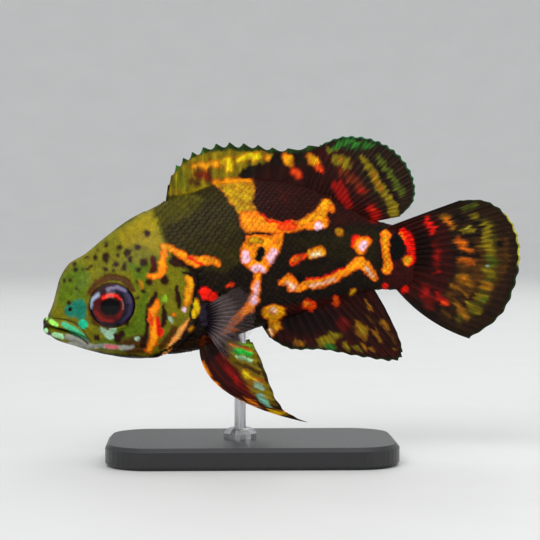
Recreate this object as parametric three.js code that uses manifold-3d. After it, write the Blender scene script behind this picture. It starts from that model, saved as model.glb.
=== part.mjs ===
// A young oscar fish at life size, nose down as it swims, held over a flat base by one short rod.
// Millimetres. The finished part has +Z up, its nose towards -X and its left side towards -Y.
// The fish is modelled level first, in a frame of its own: +X runs from the nose tip to the tail along
// the body's axis, +Z is towards the back, and the nose tip is near the origin. It is tilted last.
import * as THREE from "three";
import { mergeVertices } from "three/addons/utils/BufferGeometryUtils.js";
import Module from "manifold-3d";

const wasm = await Module();
wasm.setup();

// Driving dimensions
const BODY_TILT = THREE.MathUtils.degToRad(9); // nose below tail
const GAP = 0.3; // every cut between two pieces of the fish
const SIDE_REACH = 30; // more than the fish's half width, for cutters that go right through
const CLEAR_OF_BASE = 4; // air between the lowest fin tip and the base

// The body as slanted rings, from the lips to the root of the tail fin. Each row holds the ring's
// top point (x, z), its bottom point (x, z) and its half width.
const BODY_RINGS = [
  [-0.2, 0.1, -0.2, -0.1, 0.1],
  [0.3, 1.3, -0.1, -1.4, 2.1],
  [1.4, 2.3, 0.8, -2.5, 3.3],
  [2.6, 4.3, 2.6, -3.8, 4.2],
  [3.7, 6.8, 5.0, -5.0, 4.9],
  [4.9, 9.3, 7.8, -6.4, 5.6],
  [7.2, 11.8, 10.8, -7.7, 6.2],
  [10.8, 13.3, 14.0, -8.8, 6.8],
  [15.2, 15.9, 17.5, -9.6, 7.3],
  [20.5, 18.7, 21.5, -10.1, 7.8],
  [26.0, 20.6, 26.0, -10.3, 8.1],
  [32.0, 22.5, 31.0, -10.2, 8.2],
  [38.0, 23.6, 36.5, -9.3, 8.0],
  [44.0, 23.9, 42.5, -7.8, 7.5],
  [50.0, 23.1, 49.5, -6.8, 6.7],
  [56.0, 21.1, 56.0, -5.6, 5.6],
  [62.0, 17.9, 62.0, -4.5, 4.5],
  [67.0, 14.1, 66.5, -3.9, 3.6],
  [71.0, 11.0, 70.0, -3.9, 2.9],
  [74.5, 9.4, 73.5, -4.5, 2.3],
  [77.0, 8.2, 76.5, -4.3, 1.6],
  [78.6, 4.2, 78.4, 0.2, 0.7],
];
const RINGS = 34;
const RING_SIDES = 20;
const WIDEST_DROP = 0.12; // how far below mid height the body is widest, as a share of half the height
const BACK_PINCH = 1.2; // over 1 the section narrows towards the back
const BELLY_FULLNESS = 0.86; // under 1 it is full towards the belly

// Catmull-Rom through the rows of a table, all columns at once. share runs from 0 to 1.
function along(rows, share) {
  const last = rows.length - 1;
  const place = THREE.MathUtils.clamp(share, 0, 1) * last;
  const i = Math.min(Math.floor(place), last - 1);
  const t = place - i;
  const [a, b, c, d] = [i - 1, i, i + 1, i + 2].map((k) => rows[THREE.MathUtils.clamp(k, 0, last)]);
  return b.map((_, k) => {
    const straight = (c[k] - a[k]) * t;
    const bend = (2 * a[k] - 5 * b[k] + 4 * c[k] - d[k]) * t * t;
    const turn = (3 * b[k] - a[k] - 3 * c[k] + d[k]) * t * t * t;
    return b[k] + 0.5 * (straight + bend + turn);
  });
}

const signedPower = (x, power) => Math.sign(x) * Math.abs(x) ** power;

// A point of the body's surface. share runs from nose to tail, and angle from the back round the left side.
function bodyPoint(share, angle, grow) {
  const [topX, topZ, bottomX, bottomZ, halfWidth] = along(BODY_RINGS, share);
  const up = Math.cos(angle);
  const out = signedPower(Math.sin(angle), up > 0 ? BACK_PINCH : BELLY_FULLNESS);
  const height = up - WIDEST_DROP * (1 - up * up);
  const halfHeight = Math.hypot(topX - bottomX, topZ - bottomZ) / 2;
  const taller = 1 + grow / halfHeight;
  return new THREE.Vector3(
    (topX + bottomX) / 2 + ((topX - bottomX) / 2) * height * taller,
    -(halfWidth + grow) * out,
    (topZ + bottomZ) / 2 + ((topZ - bottomZ) / 2) * height * taller,
  );
}

// A closed loft through rings of points, with a pole at each end.
function loft(rings, startPole, endPole) {
  const sides = rings[0].length;
  const points = [startPole, ...rings.flat(), endPole];
  const end = points.length - 1;
  const at = (ring, side) => 1 + ring * sides + (side % sides);
  const faces = [];
  for (let side = 0; side < sides; side++) {
    faces.push(0, at(0, side + 1), at(0, side));
    faces.push(end, at(rings.length - 1, side), at(rings.length - 1, side + 1));
    for (let ring = 0; ring < rings.length - 1; ring++) {
      faces.push(at(ring, side), at(ring + 1, side + 1), at(ring + 1, side));
      faces.push(at(ring, side), at(ring, side + 1), at(ring + 1, side + 1));
    }
  }
  return new THREE.BufferGeometry().setFromPoints(points).setIndex(faces);
}

function solidOf(geometry) {
  const bare = geometry.clone();
  bare.deleteAttribute("normal");
  bare.deleteAttribute("uv");
  const merged = mergeVertices(bare, 1e-4);
  const mesh = new wasm.Mesh({
    numProp: 3,
    vertProperties: new Float32Array(merged.attributes.position.array),
    triVerts: new Uint32Array(merged.index.array),
  });
  return new wasm.Manifold(mesh);
}

function geometryOf(solid) {
  const mesh = solid.getMesh();
  const positions = new Float32Array(mesh.numVert * 3);
  for (let i = 0; i < mesh.numVert; i++) {
    positions.set(mesh.vertProperties.subarray(i * mesh.numProp, i * mesh.numProp + 3), i * 3);
  }
  const geometry = new THREE.BufferGeometry();
  geometry.setAttribute("position", new THREE.BufferAttribute(positions, 3));
  geometry.setIndex(new THREE.BufferAttribute(new Uint32Array(mesh.triVerts), 1));
  geometry.computeVertexNormals();
  return geometry;
}

// The body, larger all over by grow, or smaller where grow is negative.
function bodySolid(grow = 0) {
  const rings = [];
  for (let i = 1; i < RINGS; i++) {
    const share = i / RINGS;
    const sides = [...Array(RING_SIDES).keys()];
    rings.push(sides.map((k) => bodyPoint(share, (2 * Math.PI * k) / RING_SIDES, grow)));
  }
  const nose = new THREE.Vector3(BODY_RINGS[0][0] - grow, 0, 0);
  const lastRow = BODY_RINGS[BODY_RINGS.length - 1];
  const tail = new THREE.Vector3(lastRow[0] + 0.4 + grow, 0, (lastRow[1] + lastRow[3]) / 2);
  return solidOf(loft(rings, nose, tail));
}

// A flat outline in the body's mid plane, pushed out sideways from one y to another.
function prism(outline, fromY, toY) {
  const shape = new THREE.Shape(outline.map(([x, z]) => new THREE.Vector2(x, z)));
  const geometry = new THREE.ExtrudeGeometry(shape, { depth: toY - fromY, bevelEnabled: false });
  geometry.rotateX(Math.PI / 2); // the outline's y becomes z, and the depth runs towards -y
  geometry.translate(0, toY, 0);
  return solidOf(geometry);
}

// A cut as wide as the gap along a smooth line in the mid plane, right through from side to side.
function thinCut(line) {
  const curve = new THREE.SplineCurve(line.map(([x, z]) => new THREE.Vector2(x, z)));
  const steps = line.length * 2;
  const left = [];
  const right = [];
  for (let i = 0; i <= steps; i++) {
    const point = curve.getPoint(i / steps);
    const side = curve.getTangent(i / steps).rotateAround(new THREE.Vector2(), Math.PI / 2);
    side.multiplyScalar(GAP / 2);
    left.push([point.x + side.x, point.y + side.y]);
    right.unshift([point.x - side.x, point.y - side.y]);
  }
  return prism([...left, ...right], -SIDE_REACH, SIDE_REACH);
}

// Places a solid level with the fish: centre, and a turn that brings its own +Z to the way given.
function placed(geometry, centre, way) {
  const turn = new THREE.Quaternion().setFromUnitVectors(new THREE.Vector3(0, 0, 1), way);
  return geometry.applyQuaternion(turn).translate(centre.x, centre.y, centre.z);
}

// Eyes: a flattened ball set into each side of the head, looking out and a little forward
const EYE_RADIUS = 4.9;
const EYE_HALF_DEPTH = 2.7;
const EYE_CENTRE = [15.0, 5.9, 2.1];
const EYE_WAY = [-0.16, 1, 0.04];

function eyeSolid(side, grow = 0) {
  const centre = new THREE.Vector3(EYE_CENTRE[0], EYE_CENTRE[1] * side, EYE_CENTRE[2]);
  const way = new THREE.Vector3(EYE_WAY[0], EYE_WAY[1] * side, EYE_WAY[2]).normalize();
  const radius = EYE_RADIUS + grow;
  const ball = new THREE.SphereGeometry(radius, 18, 8).rotateX(Math.PI / 2);
  ball.scale(1, 1, (EYE_HALF_DEPTH + grow) / radius);
  return solidOf(placed(ball, centre, way));
}

// Fins. Each is a closed sheet over three rails: where its rays leave the body, their middles and their
// tips. Every second column is a ray, thicker than the skin between, which stops short of the ray tips.
function finSolid({ root, middle, tips, rays, fringe, thick, rows = 4 }) {
  const columns = 2 * rays;
  const midRail = middle ?? root.map((point, i) => point.map((x, k) => (x + tips[i][k]) / 2));
  const surface = (s, t) => {
    const [a, m, b] = [root, midRail, tips].map((rail) => new THREE.Vector3(...along(rail, s)));
    a.multiplyScalar((1 - t) * (1 - 2 * t));
    m.multiplyScalar(4 * t * (1 - t));
    b.multiplyScalar(t * (2 * t - 1));
    return a.add(m).add(b);
  };
  const sheet = (way) => {
    const points = [];
    for (let column = 0; column <= columns; column++) {
      const s = column / columns;
      const isRay = column % 2 === 0;
      const reach = isRay ? 1 : 1 - fringe;
      for (let row = 0; row <= rows; row++) {
        const t = (row / rows) * reach;
        const step = 0.01;
        const across = surface(Math.min(s + step, 1), t).sub(surface(Math.max(s - step, 0), t));
        const outward = surface(s, t + step).sub(surface(s, t - step));
        const normal = across.cross(outward).normalize();
        const [atRoot, atTip, between] = thick;
        const thickness = THREE.MathUtils.lerp(atRoot, atTip, t) * (isRay ? 1 : between);
        points.push(surface(s, t).addScaledVector(normal, (way * thickness) / 2));
      }
    }
    return points;
  };
  const front = sheet(1);
  const back = sheet(-1);
  const at = (column, row) => column * (rows + 1) + row;
  const faces = [];
  const quad = (a, b, c, d) => faces.push(a, b, c, a, c, d);
  for (let column = 0; column < columns; column++) {
    for (let row = 0; row < rows; row++) {
      const corners = [at(column, row), at(column + 1, row), at(column + 1, row + 1), at(column, row + 1)];
      quad(...corners);
      quad(...corners.map((i) => i + front.length).reverse());
    }
  }
  const rim = [];
  for (let column = 0; column < columns; column++) rim.push(at(column, 0));
  for (let row = 0; row < rows; row++) rim.push(at(columns, row));
  for (let column = columns; column > 0; column--) rim.push(at(column, rows));
  for (let row = rows; row > 0; row--) rim.push(at(0, row));
  rim.forEach((i, k) => {
    const next = rim[(k + 1) % rim.length];
    quad(i, i + front.length, next + front.length, next);
  });
  return solidOf(new THREE.BufferGeometry().setFromPoints([...front, ...back]).setIndex(faces));
}

const midPlane = (rail) => rail.map(([x, z]) => [x, 0, z]);

// Front of the back fin: hard spines
const SPINY_DORSAL = {
  root: midPlane([
    [28.6, 20.4], [31.6, 21.4], [35.6, 22.4], [40.6, 22.8],
    [46.4, 22.4], [52.2, 21.2], [57.4, 19.2],
  ]),
  tips: midPlane([
    [29.9, 24.6], [32.4, 28.6], [36.6, 30.8], [42.4, 31.5],
    [48.6, 30.2], [55.0, 28.3], [61.9, 27.7],
  ]),
  rays: 13,
  fringe: 0.14,
  thick: [1.5, 0.7, 0.75],
  rows: 3,
};

// Rear of the back fin: soft rays in a tall round lobe that reaches past the root of the tail fin
const SOFT_DORSAL = {
  root: midPlane([
    [57.7, 18.9], [60.4, 17.7], [62.8, 16.4], [65.0, 14.9],
    [67.0, 13.3], [68.8, 11.8], [70.4, 10.4],
  ]),
  tips: midPlane([
    [62.3, 27.9], [67.6, 28.9], [73.6, 27.3], [78.0, 23.8],
    [80.4, 18.6], [79.9, 13.6], [76.4, 10.6],
  ]),
  rays: 13,
  fringe: 0.02,
  thick: [1.9, 0.6, 0.8],
};

// Tail fin: a broad fan whose axis drops below the body's
const CAUDAL = {
  root: midPlane([
    [73.6, 8.9], [75.6, 7.2], [76.8, 5.0], [77.2, 2.6],
    [76.8, 0.2], [75.6, -2.2], [73.4, -4.3],
  ]),
  middle: midPlane([
    [81.5, 10.5], [85.3, 9.1], [88.0, 5.8], [88.8, 1.6],
    [87.5, -3.0], [84.3, -7.8], [79.2, -11.5],
  ]),
  tips: midPlane([
    [89.4, 12.0], [95.0, 10.9], [99.2, 6.6], [100.4, 0.6],
    [98.6, -6.3], [94.1, -13.1], [86.8, -16.8],
  ]),
  rays: 14,
  fringe: 0.015,
  thick: [2.2, 0.6, 0.8],
};

// Anal fin: under the rear of the body, with its longest rays at the back
const ANAL = {
  root: midPlane([
    [44.2, -6.6], [48.6, -6.0], [53.0, -5.2], [57.2, -4.4],
    [61.2, -3.7], [65.0, -3.1], [68.6, -2.9],
  ]),
  tips: midPlane([
    [45.7, -10.0], [49.8, -13.1], [56.6, -14.4], [64.4, -17.2],
    [71.4, -19.0], [72.7, -15.6], [70.5, -7.6],
  ]),
  rays: 13,
  fringe: 0.03,
  thick: [1.8, 0.6, 0.8],
};

// Breast fins: translucent fans held out from the flank behind the gill cover
function pectoral(side) {
  const sided = (rail) => rail.map(([x, y, z]) => [x, y * side, z]);
  return {
    root: sided([
      [33.7, 6.9, -1.0], [33.9, 6.7, -2.4], [33.9, 6.2, -3.8],
      [33.7, 5.6, -5.2], [33.3, 4.9, -6.4],
    ]),
    middle: sided([
      [37.7, 11.4, 0.9], [39.3, 13.1, -1.1], [39.2, 14.0, -4.2],
      [37.4, 13.6, -7.4], [34.7, 12.0, -9.3],
    ]),
    tips: sided([
      [41.5, 13.8, 2.4], [44.0, 16.8, -0.7], [43.8, 18.3, -5.0],
      [40.6, 17.6, -9.6], [35.8, 15.0, -12.2],
    ]),
    rays: 10,
    fringe: 0.03,
    thick: [1.2, 0.55, 0.92],
  };
}

// Belly fins: a spine in front drawn out into a thread, then five soft rays
function pelvic(side) {
  const sided = (rail) => rail.map(([x, y, z]) => [x, y * side, z]);
  return {
    root: sided([
      [31.3, 2.5, -9.0], [32.4, 2.8, -9.0], [33.5, 3.0, -8.9],
      [34.6, 3.2, -8.7], [35.7, 3.3, -8.4], [37.0, 3.4, -7.9],
    ]),
    middle: sided([
      [34.8, 4.9, -18.9], [36.5, 5.3, -18.2], [38.2, 5.5, -17.0],
      [39.3, 5.4, -14.9], [39.8, 5.0, -12.5], [39.8, 4.4, -9.8],
    ]),
    tips: sided([
      [50.6, 6.4, -27.9], [46.9, 6.8, -25.4], [45.0, 6.9, -22.2],
      [44.1, 6.7, -18.4], [43.3, 6.0, -14.2], [42.0, 5.0, -9.9],
    ]),
    rays: 5,
    fringe: 0.02,
    thick: [1.5, 0.55, 0.85],
    rows: 6,
  };
}

// The lines that part the body, in the mid plane
const GAPE = [[-2.0, 0.5], [0.4, -0.1], [2.2, -0.8], [4.2, -1.5], [6.1, -2.3], [8.1, -3.5], [9.2, -4.8]];
const UPPER_LIP_TOP = [
  [-2.0, 2.9], [0.9, 1.9], [2.8, 1.2], [5.5, 0.5], [7.6, -0.8], [9.4, -2.6], [9.9, -4.2], [9.2, -4.8],
];
const JAW_BACK = [[9.2, -4.8], [10.6, -6.6], [12.0, -9.0], [12.8, -12.0]];
const HEAD_BACK = [
  [23.2, 26.0], [24.6, 17.0], [26.6, 11.4], [29.8, 8.8], [32.2, 6.6], [32.9, 4.0], [32.1, 0.8],
  [32.0, -2.4], [31.0, -5.3], [28.4, -8.0], [24.6, -9.8], [20.6, -11.0], [19.4, -13.0],
];
const TRUNK_MIDDLE = [[44.6, 30.0], [42.6, 14.0], [42.4, 4.0], [42.8, -5.0], [43.6, -14.0]];
const TAIL_STEM_FRONT = [[69.4, 22.0], [68.6, 12.0], [68.2, 4.0], [68.4, -4.0], [69.0, -12.0]];

// The gill cover, in front of HEAD_BACK: a plate of its own on each side
const COVER_THICKNESS = 1.5;
const COVER_OUTLINE = [
  [24.2, 8.4], [26.6, 9.6], [29.4, 8.1], [31.5, 6.2], [32.2, 4.0], [31.4, 0.9],
  [31.3, -2.3], [30.3, -4.8], [27.8, -7.3], [24.3, -8.9], [21.6, -9.0],
  [23.0, -7.4], [24.0, -4.8], [24.1, -1.6], [24.2, 1.5], [25.0, 4.6],
];

// An outline that runs clockwise, moved outwards all round
function grownOutline(outline, by) {
  const count = outline.length;
  const points = outline.map(([x, z]) => new THREE.Vector2(x, z));
  const outwards = (from, to) => {
    const way = to.clone().sub(from).normalize();
    return new THREE.Vector2(-way.y, way.x);
  };
  return points.map((point, i) => {
    const before = outwards(points[(i + count - 1) % count], point);
    const after = outwards(point, points[(i + 1) % count]);
    const corner = before.clone().add(after).divideScalar(1 + before.dot(after));
    return corner.multiplyScalar(by).add(point).toArray();
  });
}

// Display stand: a flat base, a round rod up into the belly, and a collar where the rod leaves the base
const BASE_SIZE = [60, 34, 4.5];
const BASE_CORNER = 9;
const BASE_BEVEL = 0.8;
const BASE_PLACE_X = 43; // from the nose tip
const ROD_RADIUS = 1.2;
const ROD_X = 40.6;
const ROD_IN_BODY = 5;
const ROD_IN_BASE = 3;
const ROD_FIT = 0.15;
const COLLAR_RADIUS = 3.4;
const COLLAR_HEIGHT = 2.2;
const ROUND_SIDES = 18;

const Y_AXIS = new THREE.Vector3(0, 1, 0);
const tilted = (x, y, z) => new THREE.Vector3(x, y, z).applyAxisAngle(Y_AXIS, -BODY_TILT);
const lowestTip = pelvic(1).tips[0];
const baseTop = BASE_SIZE[2];
const lift = baseTop + CLEAR_OF_BASE - tilted(...lowestTip).z; // height of the nose tip over the table

// The rod's axis where it enters the belly, found on the body's underside
function bellyHeight(worldX) {
  let best = new THREE.Vector3();
  for (let i = 0; i <= 400; i++) {
    const point = bodyPoint(i / 400, Math.PI, 0);
    const world = tilted(point.x, 0, point.z);
    if (Math.abs(world.x - worldX) < Math.abs(best.x - worldX)) best = world;
  }
  return best.z + lift;
}

function upright(radius, bottom, top) {
  const rod = new THREE.CylinderGeometry(radius, radius, top - bottom, ROUND_SIDES);
  return rod.rotateX(Math.PI / 2).translate(ROD_X, 0, (bottom + top) / 2);
}

const rodBottom = baseTop - ROD_IN_BASE;
const rodTop = bellyHeight(ROD_X) + ROD_IN_BODY;

function baseSolid() {
  const [length, width, height] = BASE_SIZE;
  const [x, y] = [length / 2 - BASE_BEVEL, width / 2 - BASE_BEVEL];
  const r = BASE_CORNER - BASE_BEVEL;
  const shape = new THREE.Shape();
  shape.absarc(x - r, y - r, r, 0, Math.PI / 2);
  shape.absarc(r - x, y - r, r, Math.PI / 2, Math.PI);
  shape.absarc(r - x, r - y, r, Math.PI, 1.5 * Math.PI);
  shape.absarc(x - r, r - y, r, 1.5 * Math.PI, 2 * Math.PI);
  const slab = new THREE.ExtrudeGeometry(shape, {
    depth: height - 2 * BASE_BEVEL,
    bevelThickness: BASE_BEVEL,
    bevelSize: BASE_BEVEL,
    bevelSegments: 1,
    curveSegments: 5,
  });
  slab.translate(BASE_PLACE_X, 0, BASE_BEVEL);
  const socket = upright(ROD_RADIUS + ROD_FIT, rodBottom - GAP, baseTop + 1);
  return solidOf(slab).subtract(solidOf(socket));
}

function collarGeometry() {
  const inner = ROD_RADIUS + ROD_FIT;
  const profile = [
    [inner, 0], [COLLAR_RADIUS, 0], [COLLAR_RADIUS, 0.5 * COLLAR_HEIGHT],
    [COLLAR_RADIUS - 0.8, COLLAR_HEIGHT - 0.2], [COLLAR_RADIUS - 1.2, COLLAR_HEIGHT],
    [inner, COLLAR_HEIGHT], [inner, 0],
  ];
  const ring = new THREE.LatheGeometry(profile.map(([x, y]) => new THREE.Vector2(x, y)), ROUND_SIDES);
  return ring.rotateX(Math.PI / 2).translate(ROD_X, 0, baseTop);
}

// The body parted into its named pieces
const whole = bodySolid();
const clearOfBody = bodySolid(GAP);
const rodHole = upright(ROD_RADIUS + GAP, rodBottom, rodTop + GAP);
rodHole.translate(0, 0, -lift).rotateY(BODY_TILT);

const eyes = { left: eyeSolid(-1), right: eyeSolid(1) };
const coverLayer = whole.subtract(bodySolid(-COVER_THICKNESS));
const coverPocket = bodySolid(GAP).subtract(bodySolid(-COVER_THICKNESS - GAP));
const pocketOutline = grownOutline(COVER_OUTLINE, GAP);

const cuts = [GAPE, UPPER_LIP_TOP, JAW_BACK, HEAD_BACK, TRUNK_MIDDLE, TAIL_STEM_FRONT].map(thinCut);
const holes = [eyeSolid(-1, GAP), eyeSolid(1, GAP), solidOf(rodHole)];
const pockets = coverPocket.intersect(prism(pocketOutline, -SIDE_REACH, SIDE_REACH));
const cutters = [...cuts, ...holes, pockets];
const parted = cutters.reduce((body, cutter) => body.subtract(cutter), whole).decompose();

// A point inside each piece of flesh
const FLESH = {
  head: [14, 0, 9],
  upper_jaw: [4, 0, -0.4],
  lower_jaw: [5, 0, -3.6],
  trunk_front: [38, 0, 15],
  trunk_rear: [55, 0, 10],
  tail_stem: [72, 0, 3],
};

function pieceAt([x, y, z]) {
  const probe = solidOf(new THREE.BoxGeometry(0.2, 0.2, 0.2).translate(x, y, z));
  return parted.find((piece) => piece.intersect(probe).volume() > 0);
}

// Colours and finishes, one for each kind of surface
function finish(color, roughness, metalness = 0) {
  return new THREE.MeshStandardMaterial({ color, roughness, metalness });
}

const FINISHES = {
  head_skin: finish(0x6f6a12, 0.45),
  dark_skin: finish(0x2c1608, 0.45),
  jaw_skin: finish(0x9fae8a, 0.4),
  fin: finish(0x3a1206, 0.5),
  clear_fin: finish(0x6b6064, 0.4),
  eye: finish(0x3a0604, 0.1),
  black_lacquer: finish(0x141414, 0.35),
  steel: finish(0xb9bbbd, 0.3, 1),
};

const fish = new THREE.Group();
fish.rotation.y = -BODY_TILT;
fish.position.z = lift;

const stand = new THREE.Group();

function addMesh(group, name, geometry, surface) {
  const mesh = new THREE.Mesh(geometry, FINISHES[surface]);
  mesh.name = name;
  group.add(mesh);
}

function addFin(name, shape, surface) {
  addMesh(fish, name, geometryOf(finSolid(shape).subtract(clearOfBody)), surface);
}

for (const [name, inside] of Object.entries(FLESH)) {
  const surface = name.endsWith("jaw") ? "jaw_skin" : name === "head" ? "head_skin" : "dark_skin";
  addMesh(fish, name, geometryOf(pieceAt(inside)), surface);
}

for (const [name, side] of [["left", -1], ["right", 1]]) {
  const [fromY, toY] = side < 0 ? [-SIDE_REACH, -1] : [1, SIDE_REACH];
  const cover = coverLayer.intersect(prism(COVER_OUTLINE, fromY, toY));
  addMesh(fish, `gill_cover_${name}`, geometryOf(cover), "head_skin");
  addMesh(fish, `eye_${name}`, geometryOf(eyes[name]), "eye");
  addFin(`pectoral_fin_${name}`, pectoral(side), "clear_fin");
  addFin(`pelvic_fin_${name}`, pelvic(side), "fin");
}

const MIDLINE_FINS = {
  dorsal_fin_spiny: SPINY_DORSAL,
  dorsal_fin_soft: SOFT_DORSAL,
  caudal_fin: CAUDAL,
  anal_fin: ANAL,
};
for (const [name, fin] of Object.entries(MIDLINE_FINS)) addFin(name, fin, "fin");

addMesh(stand, "stand_base", geometryOf(baseSolid()), "black_lacquer");
addMesh(stand, "stand_collar", collarGeometry(), "steel");
addMesh(stand, "stand_rod", upright(ROD_RADIUS, rodBottom, rodTop), "steel");

// The origin is the middle of the whole part's footprint, on the table
const part = new THREE.Group().add(fish, stand);
part.updateMatrixWorld(true);
const box = new THREE.Box3().setFromObject(part, true);
fish.position.x -= (box.min.x + box.max.x) / 2;
stand.position.x -= (box.min.x + box.max.x) / 2;

export default part;
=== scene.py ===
import math

import bmesh
import bpy
import numpy as np
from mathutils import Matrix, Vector


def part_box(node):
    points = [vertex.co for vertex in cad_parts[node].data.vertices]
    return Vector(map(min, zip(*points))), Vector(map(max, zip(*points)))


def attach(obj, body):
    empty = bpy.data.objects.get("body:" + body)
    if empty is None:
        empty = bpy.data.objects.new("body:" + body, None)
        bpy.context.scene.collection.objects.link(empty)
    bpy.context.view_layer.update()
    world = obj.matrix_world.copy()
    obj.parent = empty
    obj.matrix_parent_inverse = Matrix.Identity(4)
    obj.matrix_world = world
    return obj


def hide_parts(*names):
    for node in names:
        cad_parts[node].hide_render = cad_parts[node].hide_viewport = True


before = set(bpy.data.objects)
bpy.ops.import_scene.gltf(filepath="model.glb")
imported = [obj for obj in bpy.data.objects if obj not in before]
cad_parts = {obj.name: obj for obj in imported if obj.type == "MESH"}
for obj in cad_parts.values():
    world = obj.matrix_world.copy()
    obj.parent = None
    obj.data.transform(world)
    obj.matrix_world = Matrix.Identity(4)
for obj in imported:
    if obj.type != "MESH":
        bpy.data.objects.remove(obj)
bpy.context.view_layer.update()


# The fish's own frame
# The fish is shaped level, in millimetres: u runs from its nose to its tail, y to its right side and v
# to its back. It hangs nose down, so its points are tilted, and the eye's node says where they go.
MM = 0.001
NOSE_DOWN = math.radians(9)
EYE_MIDDLE = (15.0, -5.9, 2.1)


def tilt(points):
    u, y, v = points[..., 0], points[..., 1], points[..., 2]
    level, steep = math.cos(NOSE_DOWN), math.sin(NOSE_DOWN)
    return np.stack([u * level - v * steep, y, u * steep + v * level], axis=-1)


eye_corners = np.array([tuple(corner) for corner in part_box("eye_left")])
NOSE_PLACE = eye_corners.mean(axis=0) - tilt(np.array(EYE_MIDDLE)) * MM


def in_row(points):
    """Points of the fish, in millimetres, as places in the row frame, in metres."""
    return tilt(points) * MM + NOSE_PLACE


# Markings
# An oscar's skin carries them from head to fin tips. Each is a brush stroke, as (u, v, radius) points,
# or a patch, as the corners of an outline, laid over the ones before it on both sides alike.
SHADES = {
    "ground": (22, 12, 3),
    "black": (4, 2, 1),
    "wine_black": (22, 4, 2),
    "olive_black": (32, 25, 4),
    "olive_dark": (45, 38, 4),
    "moss": (72, 66, 6),
    "moss_bright": (84, 92, 9),
    "olive": (112, 108, 8),
    "olive_gold": (142, 124, 8),
    "leaf": (84, 106, 8),
    "brown": (78, 46, 5),
    "brown_dark": (38, 20, 5),
    "brown_red": (105, 34, 4),
    "maroon": (52, 7, 3),
    "blood_dark": (40, 7, 2),
    "red_dark": (92, 9, 4),
    "red_mid": (160, 14, 5),
    "red": (238, 22, 6),
    "orange_red": (240, 74, 8),
    "orange": (252, 146, 10),
    "orange_gold": (236, 160, 10),
    "orange_brown": (196, 92, 8),
    "apricot": (252, 186, 92),
    "gold": (184, 138, 6),
    "ochre": (146, 92, 8),
    "yellow": (232, 200, 12),
    "yellow_olive": (132, 112, 8),
    "yellow_pale": (196, 190, 70),
    "green_olive": (78, 88, 14),
    "green_dark": (28, 54, 14),
    "green": (44, 112, 34),
    "lime": (128, 176, 34),
    "cream": (255, 232, 178),
    "pink_cream": (252, 206, 170),
    "pink": (250, 196, 214),
    "rose": (222, 118, 124),
    "teal": (22, 116, 92),
    "bright_teal": (30, 194, 146),
    "lip_teal": (64, 178, 122),
    "lip_lime": (150, 226, 92),
    "lip_pale": (168, 232, 168),
    "jaw_grey": (150, 152, 140),
    "white_green": (160, 200, 168),
    "spot": (40, 9, 1),
    "spot_red": (66, 10, 1),
    "violet": (38, 28, 44),
    "rim_green": (26, 92, 50),
    "green_bright": (44, 190, 60),
    "white_teal": (120, 186, 160),
}


# The bright bands have a redder rim about this wide, and their red, green and blue play by these shares.
GLOWING = {"orange", "orange_gold", "orange_red", "gold", "yellow", "apricot", "cream", "pink_cream"}
RIM_WIDTH = 0.55
RIM_TINT = (0.82, 0.42, 0.25)
GLOW_PLAY = (0.09, 0.3, 0.36)


def linear(shade):
    """A shade as seen on a screen, 0 to 255, as light, 0 to 1."""
    part = np.array(shade) / 255
    return np.where(part < 0.04045, part / 12.92, ((part + 0.055) / 1.055) ** 2.4)


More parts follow.
